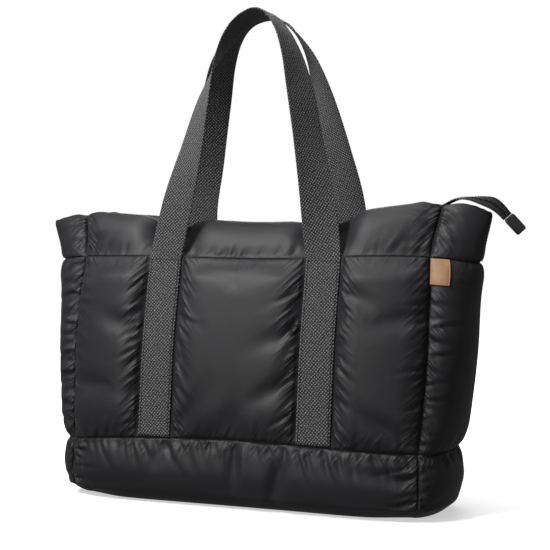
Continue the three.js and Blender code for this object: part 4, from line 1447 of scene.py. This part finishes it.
# Rows of thread: each stitch is a small bead that lies on the cloth along a line
def make_stitches(name, lines, pitch, look):
    places = []
    for points, outwards in lines:
        for centre, run, up in walk_line(np.array(points), outwards, pitch):
            side = np.cross(run, up)
            middle = centre + up * STITCH_RADIUS * 0.5
            places.append((middle, side * STITCH_RADIUS, up * STITCH_RADIUS, run * pitch * 0.36))
    thread = make_beads(name, places, look)
    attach(thread, "root")


# A line on a wall, dropped on the settled cloth
def line_on(tree, points, outward):
    laid = []
    for point, direction in zip(points, outward):
        hit = tree.ray_cast(Vector(point + direction * 0.02), Vector(-direction), 0.04)
        laid.append(np.array(hit[0]) if hit[0] else point)
    return laid, list(outward)


def sew_rim(walls, look):
    lines = []
    level = np.full(RIM_STATIONS, RIM_STITCH_LEVEL)
    for name, place_at, facing, end in (
        ("front_collar", panel_place, -1, 0.995),
        ("back_collar", panel_place, 1, 0.995),
        ("left_wing", gusset_place, -1, 0.97),
        ("right_wing", gusset_place, 1, 0.97),
    ):
        points, outward = place_at(facing, np.linspace(-end, end, RIM_STATIONS), level)
        lines.append(line_on(walls[name], points, outward))
    make_stitches("rim_stitching", lines, STITCH_PITCH, look)


# Stitches along both edges of each sewn leg, and a row across it at the rim
def sew_straps(runs, look):
    lines = []
    inset = STRAP_WIDTH / 2 - STRAP_STITCH_INSET
    for name, frames in runs.items():
        outward = np.array([0, -1.0 if name == "front_handle" else 1.0, 0])
        lift = outward * STRAP_THICKNESS * 0.46
        left, right = frames[:SEWN_STATIONS], frames[-SEWN_STATIONS:]
        for leg, top in ((left, left[-1]), (right, right[0])):
            for offset in (-1, 1):
                points = [centre + across * offset * inset + lift for centre, across, _ in leg]
                lines.append((points, [outward] * len(points)))
            spots = np.linspace(-inset, inset, 12)
            points = [top[0] + top[1] * spot + lift for spot in spots]
            lines.append((points, [outward] * len(points)))
    make_stitches("strap_stitching", lines, STRAP_STITCH_PITCH, look)


def sew_tail(frames, halves, look):
    lines = []
    tail = list(zip(frames, halves))[ZIP_STATIONS + 2:]
    for side in (-1, 1):
        points, outwards = [], []
        for (centre, across, up), half in tail:
            inset = half - TAIL_STITCH_INSET
            points.append(centre + across * side * inset + up * TAPE_THICKNESS / 2)
            outwards.append(up)
        lines.append((points, outwards))
    make_stitches("zip_stitching", lines, STITCH_PITCH, look)


make_camera()
make_studio()
nylon = make_nylon()
webbing = make_webbing()
tape = make_trim("woven_zip_tape", TAPE_SHADES, 0.8, 700.0, 0.0002)
coil = make_trim("moulded_zip_coil", COIL_SHADES, 0.4, 300.0, 0.0001)
metal = make_trim("black_zip_metal", METAL_SHADES, 0.35, 200.0, 0.0001)
thread = make_trim("black_thread", THREAD_SHADES, 0.7, 900.0, 0.0001)
leather = make_leather()

# Settled surfaces of the walls, by name, for the stitches that lie on them
walls = {}
make_panels(nylon)
make_collars(nylon)
make_gussets(nylon)
make_wings(nylon)
make_base_band(nylon)
make_bottom(nylon)
strap_runs = make_handles(webbing)
zip_frames, zip_halves = make_zip(tape, coil, metal, nylon)
make_label(leather)
sew_rim(walls, thread)
sew_straps(strap_runs, thread)
sew_tail(zip_frames, zip_halves, thread)
